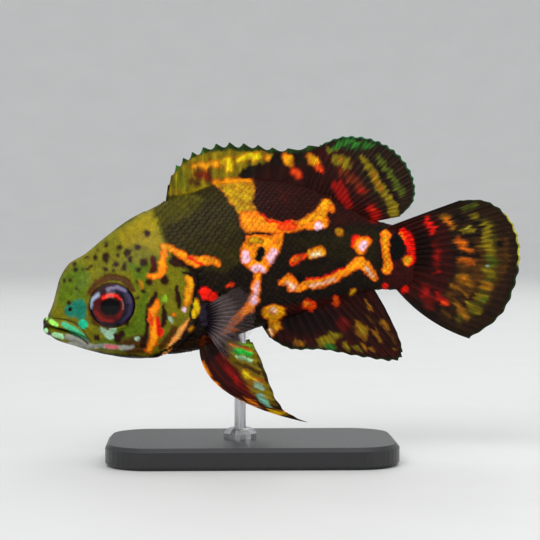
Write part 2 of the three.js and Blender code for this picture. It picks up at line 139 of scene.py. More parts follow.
# Each row is a shade, how wide its soft edge is and one or more strokes or patches, in millimetres.
MARK_ROWS = [
    # Large patches of the trunk, the fins and the head
    ("olive_dark", 1.6, [
        (25.1, 21.0), (33.3, 23.9), (39.2, 23.6), (41.4, 20.5), (43.0, 16.2), (43.2, 11.8), (42.5, 6.5),
        (38.1, 5.1), (33.0, 7.1), (28.6, 11.2), (26.2, 14.5),
    ]),
    ("moss", 1.6, [
        (25.5, 20.9), (29.9, 22.3), (34.2, 22.9), (37.0, 20.3), (33.4, 17.8), (29.0, 16.4), (26.0, 17.5),
    ]),
    ("blood_dark", 1.6, [
        (46.8, 22.6), (49.7, 25.5), (63.7, 23.9), (66.9, 17.7), (70.4, 10.4), (61.6, 10.6), (61.3, 14.0),
        (55.8, 13.2), (49.1, 13.8), (46.7, 17.1),
    ]),
    ("olive_black", 2, [
        (52.0, 10.4), (61.4, 9.3), (66.9, 9.7), (71.3, 8.2), (69.9, 2.1), (64.6, 3.0), (54.8, 7.5),
    ]),
    ("maroon", 1.4, [
        (46.0, -3.3), (53.1, -3.6), (63.5, -4.0), (68.2, -3.5), (72.6, -15.7), (71.3, -18.6),
        (57.7, -14.4), (47.4, -10.6),
    ]),
    ("wine_black", 2.0, [(49.5, -5.1), (61.0, -6.5), (60.8, -10.7), (51.9, -10.9), (48.1, -8.7)]),
    ("maroon", 1.6, [
        (59.2, 27.3), (64.3, 27.3), (68.4, 27.1), (74.4, 24.9), (78.2, 20.1), (79.6, 15.7), (78.5, 11.3),
        (74.5, 9.8), (70.3, 10.0), (66.5, 14.6), (63.7, 23.5),
    ]),
    ("moss_bright", 1.2, [(25.6, 7.9), (30.3, 6.3), (30.3, 0.4), (28.2, -4.5), (24.5, -7.0), (23.9, -2.7)]),
    ("maroon", 1.6, [
        (73.8, 9.2), (77.1, 9.4), (84.0, 9.8), (86.3, 7.5), (85.5, -3.0), (82.4, -8.7), (75.7, -6.3),
        (70.6, -2.4),
    ]),
    ("wine_black", 1.4, [(79.0, 7.3), (81.7, 6.4), (82.7, 4.1), (81.4, -1.0), (77.9, -0.9)]),
    ("brown_dark", 1.6, [
        (85.5, 11.1), (92.3, 11.8), (97.4, 9.2), (100.3, 3.9), (98.7, -4.6), (94.2, -12.3), (86.5, -16.0),
        (80.6, -11.7), (84.3, -5.0), (87.0, 1.2), (86.6, 6.5),
    ]),
    ("brown", 2, [
        (91.0, 3.6), (96.6, 2.7), (95.6, -4.6), (91.5, -9.7), (88.0, -9.6), (87.3, -5.5), (89.7, -1.5),
    ]),
    ("brown_dark", 1.2, [
        (64.9, 28.4), (70.8, 28.2), (78.4, 23.6), (80.7, 16.9), (79.0, 11.1), (73.7, 10.5), (69.9, 17.5),
        (68.3, 24.1),
    ]),
    ("yellow_olive", 0.5, [
        (29.5, 22.4), (30.9, 26.6), (33.6, 29.2), (38.2, 30.0), (42.7, 30.0), (49.2, 28.8), (52.4, 27.3),
        (50.3, 25.8), (47.3, 25.9), (45.6, 25.0), (43.5, 23.1), (38.6, 23.3), (33.2, 21.8),
    ]),
    ("blood_dark", 1.6, [
        (60.0, -7.5), (65.9, -3.2), (68.1, -5.5), (71.6, -16.5), (66.1, -16.0), (59.8, -10.9),
    ]),
    ("maroon", 0.6, [
        (30.9, -10.6), (32.2, -7.6), (36.8, -6.5), (40.2, -7.1), (42.4, -10.1), (43.5, -14.4),
        (44.2, -19.5), (44.9, -23.4), (44.2, -24.8), (40.9, -23.4), (37.1, -21.3), (33.5, -18.1),
        (31.2, -13.9),
    ]),
    ("wine_black", 1.0, [(31.9, -9.3), (36.2, -8.5), (36.9, -11.6), (33.7, -13.1), (32.0, -12.8)]),
    ("olive", 1.4, [
        (0.8, -0.1), (3.6, 6.8), (6.4, 11.4), (12.0, 15.1), (17.4, 17.2), (23.3, 19.8), (25.9, 20.4),
        (27.0, 16.9), (27.5, 13.5), (28.4, 10.0), (30.9, 7.1), (31.4, 2.4), (30.0, -3.7), (25.1, -8.2),
        (20.7, -9.8), (10.6, -7.3), (2.7, -4.0),
    ]),
    ("olive_gold", 1.5, [
        (18.1, 16.2), (23.2, 19.2), (25.7, 19.6), (27.0, 14.4), (26.1, 11.2), (22.3, 13.5), (19.1, 13.5),
    ]),
    ("leaf", 1.5, [(3.7, 4.7), (5.7, 9.6), (9.4, 11.7), (11.4, 8.7), (9.8, 3.7), (5.7, 1.8)]),
    ("leaf", 1.6, [
        (19.2, 10.2), (23.7, 9.4), (21.5, -4.5), (14.8, -7.2), (9.9, -5.1), (18.2, -1.8), (21.0, 3.0),
    ]),
    ("brown", 1.4, [(14.7, -5.1), (21.5, -4.5), (20.8, -9.0), (16.2, -8.7)]),
    # Chin, cheek, lips, gill cover and nape
    ("wine_black", 0.8, [(7.2, -7.4, 1.0), (14.5, -9.2, 0.8), (20.5, -10.6, 0.8)]),
    ("brown_dark", 1.2, [(20.6, -10.2, 0.8), (25.9, -9.8, 1.2), (31.3, -9.1, 1.9)]),
    ("brown", 0.5, [
        (10.9, 5.2, 0.7), (12.4, 7.0, 0.7), (15.1, 7.9, 0.7), (17.9, 7.2, 0.7), (19.6, 4.7, 0.6),
    ]),
    ("brown", 0.8, [(10.5, 2.5, 0.6), (10.9, -0.3, 0.6), (13.4, -2.5, 0.6)]),
    ("teal", 0.9, [(6.5, 2.3, 1.4), (8.3, 2.9, 1.4), (8.3, 1.2, 1.1)]),
    ("bright_teal", 0.4, [(8.4, -0.8, 1.0)]),
    ("lip_teal", 0.35, [(4.5, -0.2, 0.5), (6.2, -1.6, 0.7), (7.7, -3.1, 0.7), (8.6, -4.3, 0.4)]),
    ("lip_lime", 0.3, [(1.8, 0.8, 0.4), (2.8, -0.1, 0.6)], [(1.0, 1.4, 0.3)]),
    ("lip_pale", 0.3, [(0.5, -1.1, 0.5)]),
    ("lip_pale", 0.35, [(2.2, -2.2, 0.6), (3.5, -2.7, 0.6)]),
    ("jaw_grey", 0.5, [(4.9, -3.0, 0.7), (6.7, -3.7, 0.7), (8.3, -4.6, 0.7)]),
    ("jaw_grey", 0.5, [
        (4.9, -4.6, 0.5), (7.6, -5.2, 0.6), (10.3, -5.9, 0.5), (12.2, -6.0, 0.4), (16.0, -6.9, 0.5),
        (17.7, -7.0, 0.3),
    ]),
    ("rose", 0.4, [(12.5, -6.1, 0.4), (14.1, -6.5, 0.6)]),
    ("white_green", 0.5, [(12.2, -2.7, 0.6), (13.5, -3.6, 1.0), (14.4, -2.9, 0.6)]),
    ("spot", 0.5, [(10.6, -3.9, 0.6)], [(15.0, -4.6, 0.9), (15.9, -4.2, 0.7)]),
    ("white_green", 0.5, [(18.9, -5.5, 0.4)]),
    # A dark spot in the nostril: painted shade in its hole.
    ("spot", 0.25, [(6.3, 2.6, 0.4)]),
    ("spot", 0.4, [
        (24.3, 2.9, 0.4), (22.5, 1.2, 0.4), (21.5, -1.5, 0.4), (21.0, -4.2, 0.4), (19.7, -7.1, 0.6),
    ]),
    ("orange", 0.4, [
        (24.1, 1.2, 0.7), (22.9, -0.6, 0.9), (22.5, -2.7, 0.9), (22.6, -5.0, 0.9), (21.9, -6.9, 0.8),
        (20.7, -8.2, 0.7),
    ]),
    ("red", 0.35, [(23.8, -4.6, 0.7), (23.7, -1.8, 0.3), (23.7, -5.7, 0.4)]),
    ("orange_red", 0.4, [(22.4, -1.0, 0.3), (22.2, -3.2, 0.3)]),
    (
        "spot", 0.5, [(25.3, 0.2, 0.5), (25.1, -2.0, 0.6), (24.6, -3.6, 0.4)],
        [(28.5, 3.6, 0.5), (28.3, 1.4, 0.6), (28.3, -0.3, 0.4)],
    ),
    ("spot", 0.6, [(26.3, 5.6, 0.9)]),
    ("brown", 0.6, [(26.8, -4.5, 0.7), (25.1, -6.5, 0.8), (23.2, -7.9, 0.7)]),
    ("white_green", 0.4, [(26.3, -2.2, 0.5), (26.3, -3.1, 0.3)]),
    ("orange", 0.4, [(27.1, -1.8, 0.3)]),
    ("lime", 0.5, [(25.7, 1.8, 0.6)]),
    ("orange_gold", 0.4, [(31.0, 5.3, 0.6), (31.4, 4.0, 0.8), (30.9, 2.4, 0.8), (30.0, 0.3, 0.7)]),
    ("pink", 0.35, [(29.4, -1.0, 0.5)]),
    ("apricot", 0.4, [
        (29.8, -3.1, 0.4), (28.3, -4.9, 0.6), (26.7, -6.6, 0.6), (25.2, -8.2, 0.5), (23.7, -9.8, 0.4),
    ]),
    ("red", 0.45, [(33.9, 2.3, 0.9), (34.2, 1.3, 1.2), (35.5, 0.6, 0.9)]),
    ("yellow", 0.45, [(31.6, 0.2, 0.7), (31.8, -1.4, 1.0), (31.3, -2.6, 0.6)]),
    ("gold", 0.5, [(30.1, -5.1, 0.6)]),
    ("black", 0.2, [
        (30.0, 6.7, 0.2), (31.3, 6.3, 0.2), (32.4, 4.4, 0.3), (32.3, 2.5, 0.2), (30.8, -0.7, 0.2),
        (30.4, -2.9, 0.2), (29.2, -5.5, 0.2), (26.5, -7.9, 0.2), (23.8, -9.0, 0.3), (21.5, -9.6, 0.2),
    ]),
    ("spot_red", 0.45, [(24.6, 10.1, 0.7), (24.6, 8.4, 0.7), (24.0, 7.7, 0.5)]),
    ("pink", 0.4, [(27.1, 10.7, 0.4)]),
    ("orange", 0.4, [
        (27.3, 11.9, 0.5), (26.4, 9.1, 0.7), (26.6, 8.1, 0.8), (25.7, 6.9, 0.8), (24.3, 6.4, 0.6),
        (23.3, 6.9, 0.5),
    ]),
    ("gold", 0.7, [(21.6, 6.1, 0.4), (21.5, 4.7, 0.3)]),
    ("orange", 0.5, [
        (29.1, 11.2, 0.5), (30.4, 10.1, 0.8), (31.7, 8.9, 0.9), (33.0, 8.2, 1.1), (34.9, 8.3, 1.0),
        (36.6, 7.9, 0.7), (37.6, 7.1, 0.6),
    ]),
    ("orange_gold", 0.5, [(27.3, 12.1, 0.7), (28.6, 11.6, 0.7)]),
    ("red", 0.35, [(32.1, 9.2, 0.3), (34.1, 7.6, 0.3)]),
    ("spot", 0.6, [(28.7, 9.1, 0.9), (30.2, 8.1, 0.6)]),
    ("orange_red", 0.4, [(38.8, 2.3, 0.4), (40.0, 2.6, 0.4)]),
    ("violet", 0.6, [(33.6, -1.4, 0.9), (33.1, -3.9, 1.2)]),
    # Dark spots of the head
    (
        "spot", 0.72, [(15.6, 14.5, 0.5)], [(24.1, 15.4, 0.7)], [(21.8, 12.9, 0.8)], [(19.8, 12.2, 0.8)],
        [(18.3, 13.6, 0.5)], [(15.3, 12.2, 0.7)], [(14.9, 11.3, 0.6)], [(12.9, 12.3, 0.5)],
        [(17.0, 10.1, 0.6)], [(18.7, 9.8, 0.5)], [(18.7, 9.1, 0.5)], [(11.0, 12.4, 0.3)],
        [(8.4, 11.4, 0.5)], [(8.5, 10.3, 0.5)], [(5.8, 8.5, 0.4)], [(7.1, 8.4, 0.4)], [(14.7, 9.4, 0.5)],
        [(21.3, 8.4, 0.6)], [(6.2, 3.9, 0.5)], [(21.8, 4.1, 0.5)], [(17.4, -1.8, 0.6)],
        [(20.4, 2.7, 0.3)], [(18.7, 0.4, 0.3)], [(8.2, 6.5, 0.3)], [(22.6, 9.7, 0.9)], [(23.3, 5.5, 0.8)],
        [(20.9, 6.1, 0.3)], [(16.3, 8.9, 0.3)], [(11.1, 15.1, 0.3)], [(20.2, 10.8, 0.5)],
        [(17.6, 11.8, 0.4)], [(13.7, 13.5, 0.3)], [(10.0, 10.2, 0.3)],
    ),
    ("spot", 0.48, [(10.9, 10.2, 0.3), (12.1, 10.6, 0.3)]),
    # Bands and rings of the trunk
    ("gold", 0.45, [
        (38.4, 24.1), (43.0, 24.2), (47.4, 22.7), (47.6, 21.0), (46.6, 18.6), (46.9, 16.7), (48.3, 15.2),
        (48.9, 13.6), (47.7, 12.4), (45.5, 12.1), (43.9, 12.3), (43.3, 13.7), (43.2, 16.0), (42.3, 18.2),
        (40.7, 21.4),
    ]),
    ("orange", 0.8, [
        (43.7, 16.8), (46.6, 16.5), (48.5, 15.0), (49.1, 13.4), (47.7, 12.4), (44.1, 12.5), (43.4, 14.3),
    ]),
    ("orange", 0.45, [
        (47.1, 14.1, 1.7), (49.4, 12.9, 1.4), (51.6, 12.2, 1.2), (53.9, 12.0, 1.1), (56.2, 12.3, 1.2),
        (58.1, 12.4, 1.3), (59.8, 12.3, 1.6),
    ]),
    ("orange_gold", 0.6, [(55.7, 12.8, 0.6), (58.3, 13.4, 0.8), (59.9, 14.2, 1.0)]),
    ("orange_gold", 0.45, [(60.0, 13.4, 1.2), (60.8, 14.7, 1.2), (61.6, 15.4, 1.4)]),
    ("orange", 0.5, [(61.9, 14.9, 0.8), (62.6, 14.2, 0.6)]),
    ("orange_red", 0.5, [(51.6, 12.4, 0.8), (53.1, 12.3, 0.9), (54.3, 12.1, 0.7)]),
    ("red", 0.3, [(48.2, 15.6, 0.2), (49.2, 14.0, 0.3), (51.6, 13.2, 0.2), (53.6, 13.1, 0.2)]),
    ("pink", 0.5, [(59.2, 11.4, 0.9)]),
    ("orange", 0.45, [
        (44.0, 11.7), (45.9, 11.8), (48.7, 11.1), (51.9, 11.5), (51.6, 9.6), (50.5, 7.7), (48.9, 5.9),
        (47.0, 4.1), (45.6, 3.1), (44.1, 4.5), (42.7, 6.0), (41.9, 8.0), (42.9, 10.0),
    ]),
    ("gold", 0.5, [(45.1, 10.7, 0.8), (46.9, 10.2, 0.6)]),
    ("black", 0.3, [(46.6, 8.5, 0.7), (46.3, 7.6, 0.8), (45.9, 6.8, 0.7)]),
    ("black", 0.25, [(45.1, 12.0, 0.2), (46.4, 12.2, 0.3), (48.0, 11.7, 0.3), (49.1, 11.1, 0.2)]),
    ("orange", 0.4, [(49.7, 1.4, 0.7), (51.4, 1.6, 1.0), (52.0, 0.1, 1.2), (52.9, -0.6, 0.9)]),
    ("orange", 0.4, [
        (54.3, -0.2, 0.9), (56.2, 0.0, 1.2), (58.7, -0.1, 1.1), (61.1, 0.6, 1.0), (63.1, 1.3, 0.8),
        (65.1, 2.1, 1.0), (66.3, 2.9, 1.1), (67.6, 1.7, 1.2), (68.6, 0.0, 1.0), (69.0, -1.1, 0.7),
    ]),
    ("black", 0.3, [(53.7, 1.8, 0.7), (54.0, 0.7, 0.5)]),
    (
        "pink_cream", 0.4, [(50.9, 1.0, 0.5), (52.1, -0.3, 0.7)],
        [(55.7, -0.4, 0.5), (58.2, -0.4, 0.5), (60.8, 0.1, 0.4)], [(67.7, 1.2, 0.5), (68.7, -0.4, 0.5)],
    ),
    ("red", 0.3, [(55.1, 0.9, 0.2), (57.6, 0.9, 0.2), (60.6, 1.5, 0.2), (63.4, 2.1, 0.2)]),
    ("black", 0.35, [(75.6, 6.3, 1.5), (75.0, 4.9, 1.7), (74.5, 3.5, 1.6)]),
    ("red", 0.35, [
        (76.5, 7.6, 0.7), (77.3, 6.4, 1.0), (77.6, 4.3, 0.9), (77.5, 2.4, 1.0), (76.7, 1.1, 1.1),
    ]),
    ("gold", 0.5, [(63.3, 9.5, 0.9)]),
    ("orange_gold", 0.45, [
        (45.2, -3.4), (47.7, -3.0), (50.1, -4.0), (49.6, -5.6), (48.2, -6.4), (48.6, -8.3), (47.4, -9.2),
        (46.2, -10.2), (45.9, -7.9), (45.8, -6.0), (44.7, -4.8),
    ]),
    ("pink_cream", 0.5, [(47.3, -4.3, 0.8)]),
    ("red", 0.35, [(66.4, 7.4, 1.0), (66.0, 6.1, 0.7), (69.0, 7.1, 0.6)]),
    ("orange", 0.4, [(67.4, 6.6, 1.3), (68.4, 6.7, 1.1), (66.9, 5.6, 1.3)]),
    ("orange", 0.35, [
        (72.7, 7.3, 1.1), (72.4, 5.4, 0.9), (72.2, 3.2, 0.7), (72.2, 1.2, 1.1), (71.9, 0.1, 1.0),
    ]),
    ("orange_gold", 0.5, [(72.5, 6.6, 0.7), (72.2, 2.1, 0.4), (72.1, 0.6, 0.6)]),
    # Tail fin
    ("brown", 1.3, [(88.5, 3.2, 0.8), (88.2, -1.4, 1.0), (86.8, -5.0, 1.0), (83.9, -7.8, 0.8)]),
    ("moss", 1.3, [
        (94.1, 6.5, 0.9), (94.5, 3.5, 1.0), (94.3, 0.1, 1.1), (93.8, -3.1, 1.1), (92.5, -6.3, 1.0),
        (90.8, -8.9, 1.0), (88.4, -11.1, 0.9), (85.5, -12.5, 0.6),
    ]),
    ("red", 0.6, [(82.0, 9.2, 0.5), (82.3, 8.0, 0.7), (82.7, 6.5, 0.5)]),
    ("red_dark", 0.8, [(82.8, 3.8, 0.7), (82.9, 1.4, 0.8), (82.3, -0.7, 0.7), (81.9, -2.0, 0.5)]),
    ("red_mid", 0.6, [(82.9, 2.3, 0.3), (82.7, 0.5, 0.3)]),
    ("red_mid", 0.5, [(81.9, -1.9, 0.4)]),
    ("red_dark", 1.0, [(79.3, -4.4, 0.7), (79.3, -6.2, 1.1), (79.8, -8.5, 1.1)]),
    ("red_mid", 0.7, [(79.5, -5.4, 0.5), (79.0, -6.4, 0.4)], [(81.8, -7.0, 0.7), (82.7, -8.1, 0.7)]),
    ("orange_red", 0.6, [(82.5, -8.3, 0.4), (83.2, -9.0, 0.3)]),
    ("red", 0.5, [(75.2, -4.5, 0.7), (74.8, -4.8, 0.4)]),
    ("red", 0.4, [(71.1, -3.2, 0.6)]),
    ("ochre", 0.7, [(85.6, 9.1, 0.7), (86.3, 8.0, 0.8), (87.0, 6.7, 0.5)]),
    ("orange", 0.5, [(86.0, 8.5, 0.4), (86.6, 7.4, 0.3)]),
    ("orange_brown", 0.8, [(87.7, 3.9, 0.6), (88.4, 2.5, 1.0), (89.3, 1.3, 0.6)]),
    ("orange", 0.5, [(88.3, 3.4, 0.4), (88.6, 2.0, 0.3)]),
    ("orange_brown", 0.7, [(87.3, -0.3, 0.4), (88.6, -0.7, 0.7), (89.9, -1.3, 0.3)]),
    ("ochre", 0.8, [(86.7, -3.7, 0.6), (87.8, -4.5, 0.9), (88.7, -5.7, 0.5)]),
    ("orange_gold", 0.6, [(87.5, -4.3, 0.3)]),
    ("ochre", 0.6, [(84.7, -5.1, 0.3), (86.3, -6.3, 0.3), (87.6, -7.6, 0.3)]),
    ("ochre", 0.8, [(85.2, -8.9, 0.4), (86.3, -11.0, 0.6), (87.2, -12.5, 0.4)]),
    ("brown", 0.6, [(82.2, -9.8, 0.3), (83.3, -11.5, 0.3)]),
    ("green_olive", 0.6, [(89.6, 10.0, 0.3), (91.1, 10.3, 0.4), (92.3, 10.5, 0.3)]),
    (
        "yellow_olive", 0.6, [(90.9, 8.4, 0.4), (92.1, 8.2, 0.5)],
        [(89.1, 5.5, 0.5), (90.3, 5.8, 0.8), (91.0, 5.4, 0.4)],
    ),
    ("yellow_pale", 0.5, [(90.3, 6.2, 0.3)]),
    ("yellow_olive", 0.8, [(94.0, 6.2, 0.5), (94.1, 4.5, 0.7), (93.2, 2.4, 1.0), (94.1, 0.3, 0.9)]),
    ("green_olive", 0.8, [(93.5, -1.2, 0.9), (94.4, -2.5, 0.6)]),
    ("white_green", 0.6, [(93.3, -2.5, 0.2)]),
    ("yellow_olive", 0.7, [(92.2, -3.4, 0.7), (93.3, -4.0, 0.7)]),
    ("ochre", 0.8, [(91.4, -6.1, 0.5), (92.7, -6.6, 0.8)]),
    ("yellow_olive", 0.7, [(90.0, -8.3, 0.6), (91.0, -8.9, 0.7)]),
    ("green", 0.6, [(90.9, -9.2, 0.3)]),
    ("yellow_olive", 0.8, [(87.9, -10.0, 0.5), (89.1, -11.2, 0.6)]),
    ("black", 0.6, [(88.1, 9.2, 0.4), (89.0, 7.7, 0.5)]),
    ("black", 0.5, [(88.4, 4.4, 0.2), (90.2, 4.5, 0.3), (93.1, 4.3, 0.3)]),
    (
        "black", 0.6, [(86.8, 0.9, 0.3), (89.2, 0.5, 0.4), (91.4, -0.3, 0.4)],
        [(90.2, 2.7, 0.4), (90.9, 1.9, 0.4)],
    ),
    ("black", 0.7, [(95.9, 2.0, 0.5), (96.4, 1.5, 0.4)]),
    ("black", 0.8, [(92.6, 6.9, 0.4), (91.5, 6.9, 0.3)]),
    ("wine_black", 0.7, [(89.2, -7.6, 0.3), (87.9, -8.7, 0.3)]),
    ("brown", 0.7, [(97.4, 2.6, 0.4), (97.1, -0.9, 0.5), (96.1, -4.2, 0.4)]),
    # Back fins
    ("olive", 0.9, [(31.7, 24.6, 0.9), (33.2, 27.0, 0.8), (33.4, 23.6, 0.7)]),
    ("orange_gold", 0.8, [(35.9, 27.5, 0.6), (39.3, 27.4, 0.8), (40.9, 27.1, 0.7)]),
    (
        "yellow", 0.7, [(41.9, 27.5, 0.7), (43.0, 27.5, 1.0), (43.2, 26.0, 0.7)],
        [(44.9, 27.6, 0.5), (47.2, 27.7, 1.0), (49.4, 27.4, 0.9)],
    ),
    ("orange_gold", 0.6, [(51.0, 27.0, 0.6)]),
    ("brown_red", 0.9, [(36.2, 25.4, 0.8), (37.9, 25.7, 1.1), (38.5, 24.5, 0.7)]),
    ("brown", 0.8, [(34.7, 24.5, 0.6), (36.1, 23.9, 0.7)]),
    ("orange_gold", 0.5, [(39.1, 23.8, 0.3), (41.7, 23.5, 0.4), (46.8, 22.8, 0.4)]),
    ("green_dark", 0.5, [
        (30.7, 27.4, 1.0), (32.4, 28.6, 1.0), (34.5, 30.0, 1.0), (37.6, 30.9, 1.0), (40.6, 31.3, 1.2),
        (43.6, 31.0, 1.3), (47.2, 30.3, 1.3), (50.9, 29.6, 1.3), (54.5, 28.9, 1.3), (57.8, 28.2, 1.1),
        (61.1, 28.2, 1.0),
    ]),
    # Small green dots on the dark spine tips: painted highlights.
    (
        "green", 0.4, [(32.4, 27.9, 0.3)], [(34.9, 29.4, 0.3)], [(37.9, 30.3, 0.3)], [(40.3, 30.8, 0.3)],
        [(42.9, 30.6, 0.3)], [(45.7, 30.1, 0.3)], [(48.3, 29.7, 0.2)],
    ),
    ("orange_gold", 0.6, [(54.7, 26.6, 0.7), (55.4, 26.1, 1.0), (55.7, 24.9, 0.7)]),
    ("orange_red", 0.8, [(56.2, 23.4, 0.8), (57.0, 22.2, 0.7)]),
    ("orange_gold", 0.6, [(59.8, 25.8, 0.7), (60.8, 24.5, 1.1)]),
    ("orange_red", 0.6, [(61.3, 23.2, 0.8), (61.7, 22.7, 0.5)]),
    ("yellow_olive", 0.7, [(65.2, 24.2, 1.0), (66.8, 23.6, 1.0), (67.2, 22.6, 0.7)]),
    ("gold", 0.5, [(66.1, 24.0, 0.4)]),
    ("olive", 0.6, [(63.9, 26.8, 0.4), (65.5, 26.5, 0.4)]),
    ("brown_red", 0.8, [(65.5, 22.5, 0.5), (67.0, 20.6, 0.8), (68.6, 18.6, 1.0), (69.5, 17.0, 0.9)]),
    ("red_mid", 0.7, [(69.1, 17.4, 0.5), (69.6, 16.8, 0.4)]),
    ("red_mid", 0.8, [(64.5, 19.1, 1.1), (65.3, 16.9, 1.2), (66.2, 14.7, 0.7)]),
    ("red_mid", 0.7, [(70.7, 13.2, 0.8), (71.5, 11.6, 1.0), (70.9, 10.7, 0.6)]),
    ("orange_red", 0.5, [(71.1, 12.8, 0.4)]),
    ("yellow_olive", 0.6, [
        (70.6, 24.1, 0.5), (71.2, 22.5, 0.8), (72.2, 20.1, 1.0), (73.3, 17.7, 1.1), (74.4, 15.2, 0.9),
        (75.3, 13.2, 1.0), (75.2, 11.4, 1.0),
    ]),
    ("gold", 0.6, [(72.0, 20.1, 0.3), (73.1, 17.7, 0.4), (73.5, 16.7, 0.3)]),
    ("green_olive", 0.6, [
        (73.8, 23.6, 0.5), (74.4, 22.0, 0.6), (75.5, 19.9, 0.7), (76.6, 17.5, 0.6), (77.5, 15.5, 0.7),
    ]),
    ("wine_black", 0.6, [(72.0, 23.3, 0.3), (73.7, 19.9, 0.4), (75.0, 16.8, 0.4), (76.6, 13.8, 0.4)]),
    ("green", 0.6, [
        (65.2, 26.8, 0.4), (66.6, 27.4, 0.7), (68.2, 27.8, 0.8), (69.9, 26.9, 0.8), (71.7, 26.2, 0.6),
        (73.2, 26.4, 0.3),
    ]),
    ("green_dark", 0.4, [(67.2, 26.1, 0.3), (68.9, 27.4, 0.3)], [(69.3, 25.8, 0.3), (71.0, 27.0, 0.3)]),
    # Anal fin
    ("orange_red", 0.5, [(54.4, -4.1, 1.1), (55.3, -4.9, 1.0)]),
    ("orange", 0.5, [(54.3, -4.0, 0.6)]),
    ("orange_red", 0.5, [(60.4, -4.2, 0.8), (60.5, -5.3, 0.5)]),
    ("orange", 0.4, [(60.4, -4.4, 0.3)]),
    ("gold", 0.4, [(64.3, -3.0, 0.6), (63.8, -3.8, 0.4)]),
    ("red_dark", 1.0, [(61.3, -9.5, 1.3)]),
    ("ochre", 0.7, [(64.3, -10.4, 0.9), (64.9, -11.7, 1.2), (65.3, -12.6, 0.7)]),
    ("yellow_olive", 0.6, [(64.7, -10.9, 0.5), (65.1, -11.9, 0.6)]),
    ("yellow_olive", 0.7, [(56.2, -12.6, 0.9), (58.1, -12.2, 1.0), (59.8, -11.6, 0.6)]),
    ("green", 0.5, [(57.2, -13.4, 0.5), (58.5, -14.2, 0.5)]),
    ("ochre", 0.6, [(50.9, -11.8, 0.6), (52.5, -12.4, 0.4)]),
    (
        "yellow_olive", 0.5, [(61.0, -13.7, 0.5), (61.7, -14.8, 0.4)],
        [(63.1, -14.6, 0.4), (63.7, -15.3, 0.3)],
    ),
    (
        "ochre", 0.5, [(64.8, -14.6, 0.3), (65.2, -15.6, 0.3)], [(66.2, -15.4, 0.4), (66.5, -16.0, 0.3)],
        [(71.0, -16.5, 0.3)],
    ),
    ("ochre", 0.4, [(66.6, -5.4, 0.2), (67.4, -7.8, 0.3)]),
    ("ochre", 0.5, [(67.5, -12.1, 0.4), (68.3, -14.2, 0.3)], [(69.4, -10.3, 0.5), (70.4, -12.3, 0.4)]),
    ("brown", 0.5, [(70.5, -13.1, 0.3), (71.4, -15.1, 0.3)], [(66.7, -8.6, 0.2), (67.4, -10.4, 0.2)]),
    # Belly fins
    ("orange_brown", 0.6, [(36.1, -7.5, 0.4), (37.9, -6.7, 0.5), (39.3, -7.2, 0.3)]),
    ("brown_red", 0.6, [(31.4, -8.9, 0.4), (32.3, -7.3, 0.3)]),
    ("red_dark", 1.0, [(35.3, -12.5, 1.2), (36.9, -15.1, 1.3), (38.5, -18.0, 1.3), (40.2, -20.3, 0.9)]),
    ("red_mid", 0.9, [(36.4, -14.7, 0.3), (37.7, -17.6, 0.4)]),
    ("yellow_olive", 1.1, [
        (37.0, -9.5), (39.6, -9.4), (42.3, -10.4), (42.9, -13.6), (43.6, -17.4), (44.5, -21.2),
        (44.9, -23.1), (42.7, -22.9), (41.1, -21.2), (40.2, -18.9), (38.6, -15.5), (37.0, -12.7),
    ]),
    ("lime", 0.5, [(39.5, -10.1, 0.4), (40.8, -10.3, 0.5), (41.8, -11.0, 0.3)]),
    ("orange", 0.4, [(37.8, -10.2, 0.2), (39.6, -10.8, 0.3), (41.4, -11.5, 0.2)]),
    ("green_bright", 0.5, [(38.1, -11.2, 0.4), (39.5, -11.7, 0.6), (41.1, -12.2, 0.6)]),
    ("lip_pale", 0.4, [(38.5, -12.3, 0.2), (39.7, -13.1, 0.3), (41.0, -13.7, 0.4)]),
    ("brown", 0.6, [(38.3, -13.8, 0.4), (40.4, -15.1, 0.4), (42.6, -16.3, 0.4)]),
    ("yellow", 0.5, [(39.3, -15.7, 0.5), (40.1, -16.6, 0.6), (41.3, -17.7, 0.4)]),
    ("orange_brown", 0.5, [(41.6, -17.3, 0.3), (42.9, -18.1, 0.3)]),
    ("white_green", 0.6, [(41.2, -18.7, 0.5), (42.4, -19.3, 0.4)]),
    ("ochre", 0.6, [(39.7, -18.0, 0.3), (40.6, -19.4, 0.3)]),
    ("white_teal", 0.5, [(42.0, -21.6, 0.7), (42.7, -22.5, 0.6)]),
    ("brown_dark", 0.5, [(42.7, -14.5, 0.3), (43.9, -17.7, 0.3), (44.7, -20.7, 0.3), (44.9, -22.8, 0.3)]),
    ("yellow", 0.35, [(43.6, -24.1, 0.3), (45.1, -24.9, 0.4), (46.1, -25.6, 0.3)]),
    ("olive_dark", 0.3, [(46.6, -26.1, 0.2), (48.0, -27.0, 0.2), (49.9, -27.8, 0.2)]),
    # Trunk again: pale hearts, small marks and the band down to the belly fins
    (
        "pink", 0.5, [(43.3, 8.2, 0.7), (43.4, 6.9, 0.8)], [(49.3, 7.7, 0.7), (48.2, 6.4, 0.8)],
        [(44.9, 4.9, 0.8), (45.9, 4.6, 0.8)],
    ),
    ("orange", 0.4, [
        (45.3, 3.7, 0.8), (44.8, 2.0, 0.9), (44.3, 0.2, 1.0), (43.7, -1.6, 1.1), (42.3, -3.0, 1.0),
        (40.3, -4.1, 0.8), (37.9, -5.9, 0.7),
    ]),
    ("pink", 0.7, [(44.8, 2.0, 0.3), (44.1, -0.2, 0.5), (43.5, -1.8, 0.7)]),
    ("orange_brown", 0.6, [(40.3, -4.2, 0.5), (37.7, -6.1, 0.6), (36.8, -7.1, 0.5)]),
    ("orange_red", 0.4, [(52.5, 4.9, 0.6), (53.7, 5.5, 0.7), (55.3, 5.9, 0.4)]),
    ("orange", 0.4, [(52.8, 5.2, 0.3), (54.0, 5.7, 0.3)]),
    ("orange_gold", 0.4, [(56.7, 5.9, 1.0), (58.0, 6.1, 1.0), (58.9, 6.1, 1.0)]),
    ("cream", 0.4, [(57.0, 5.8, 0.6), (58.4, 5.8, 0.7)]),
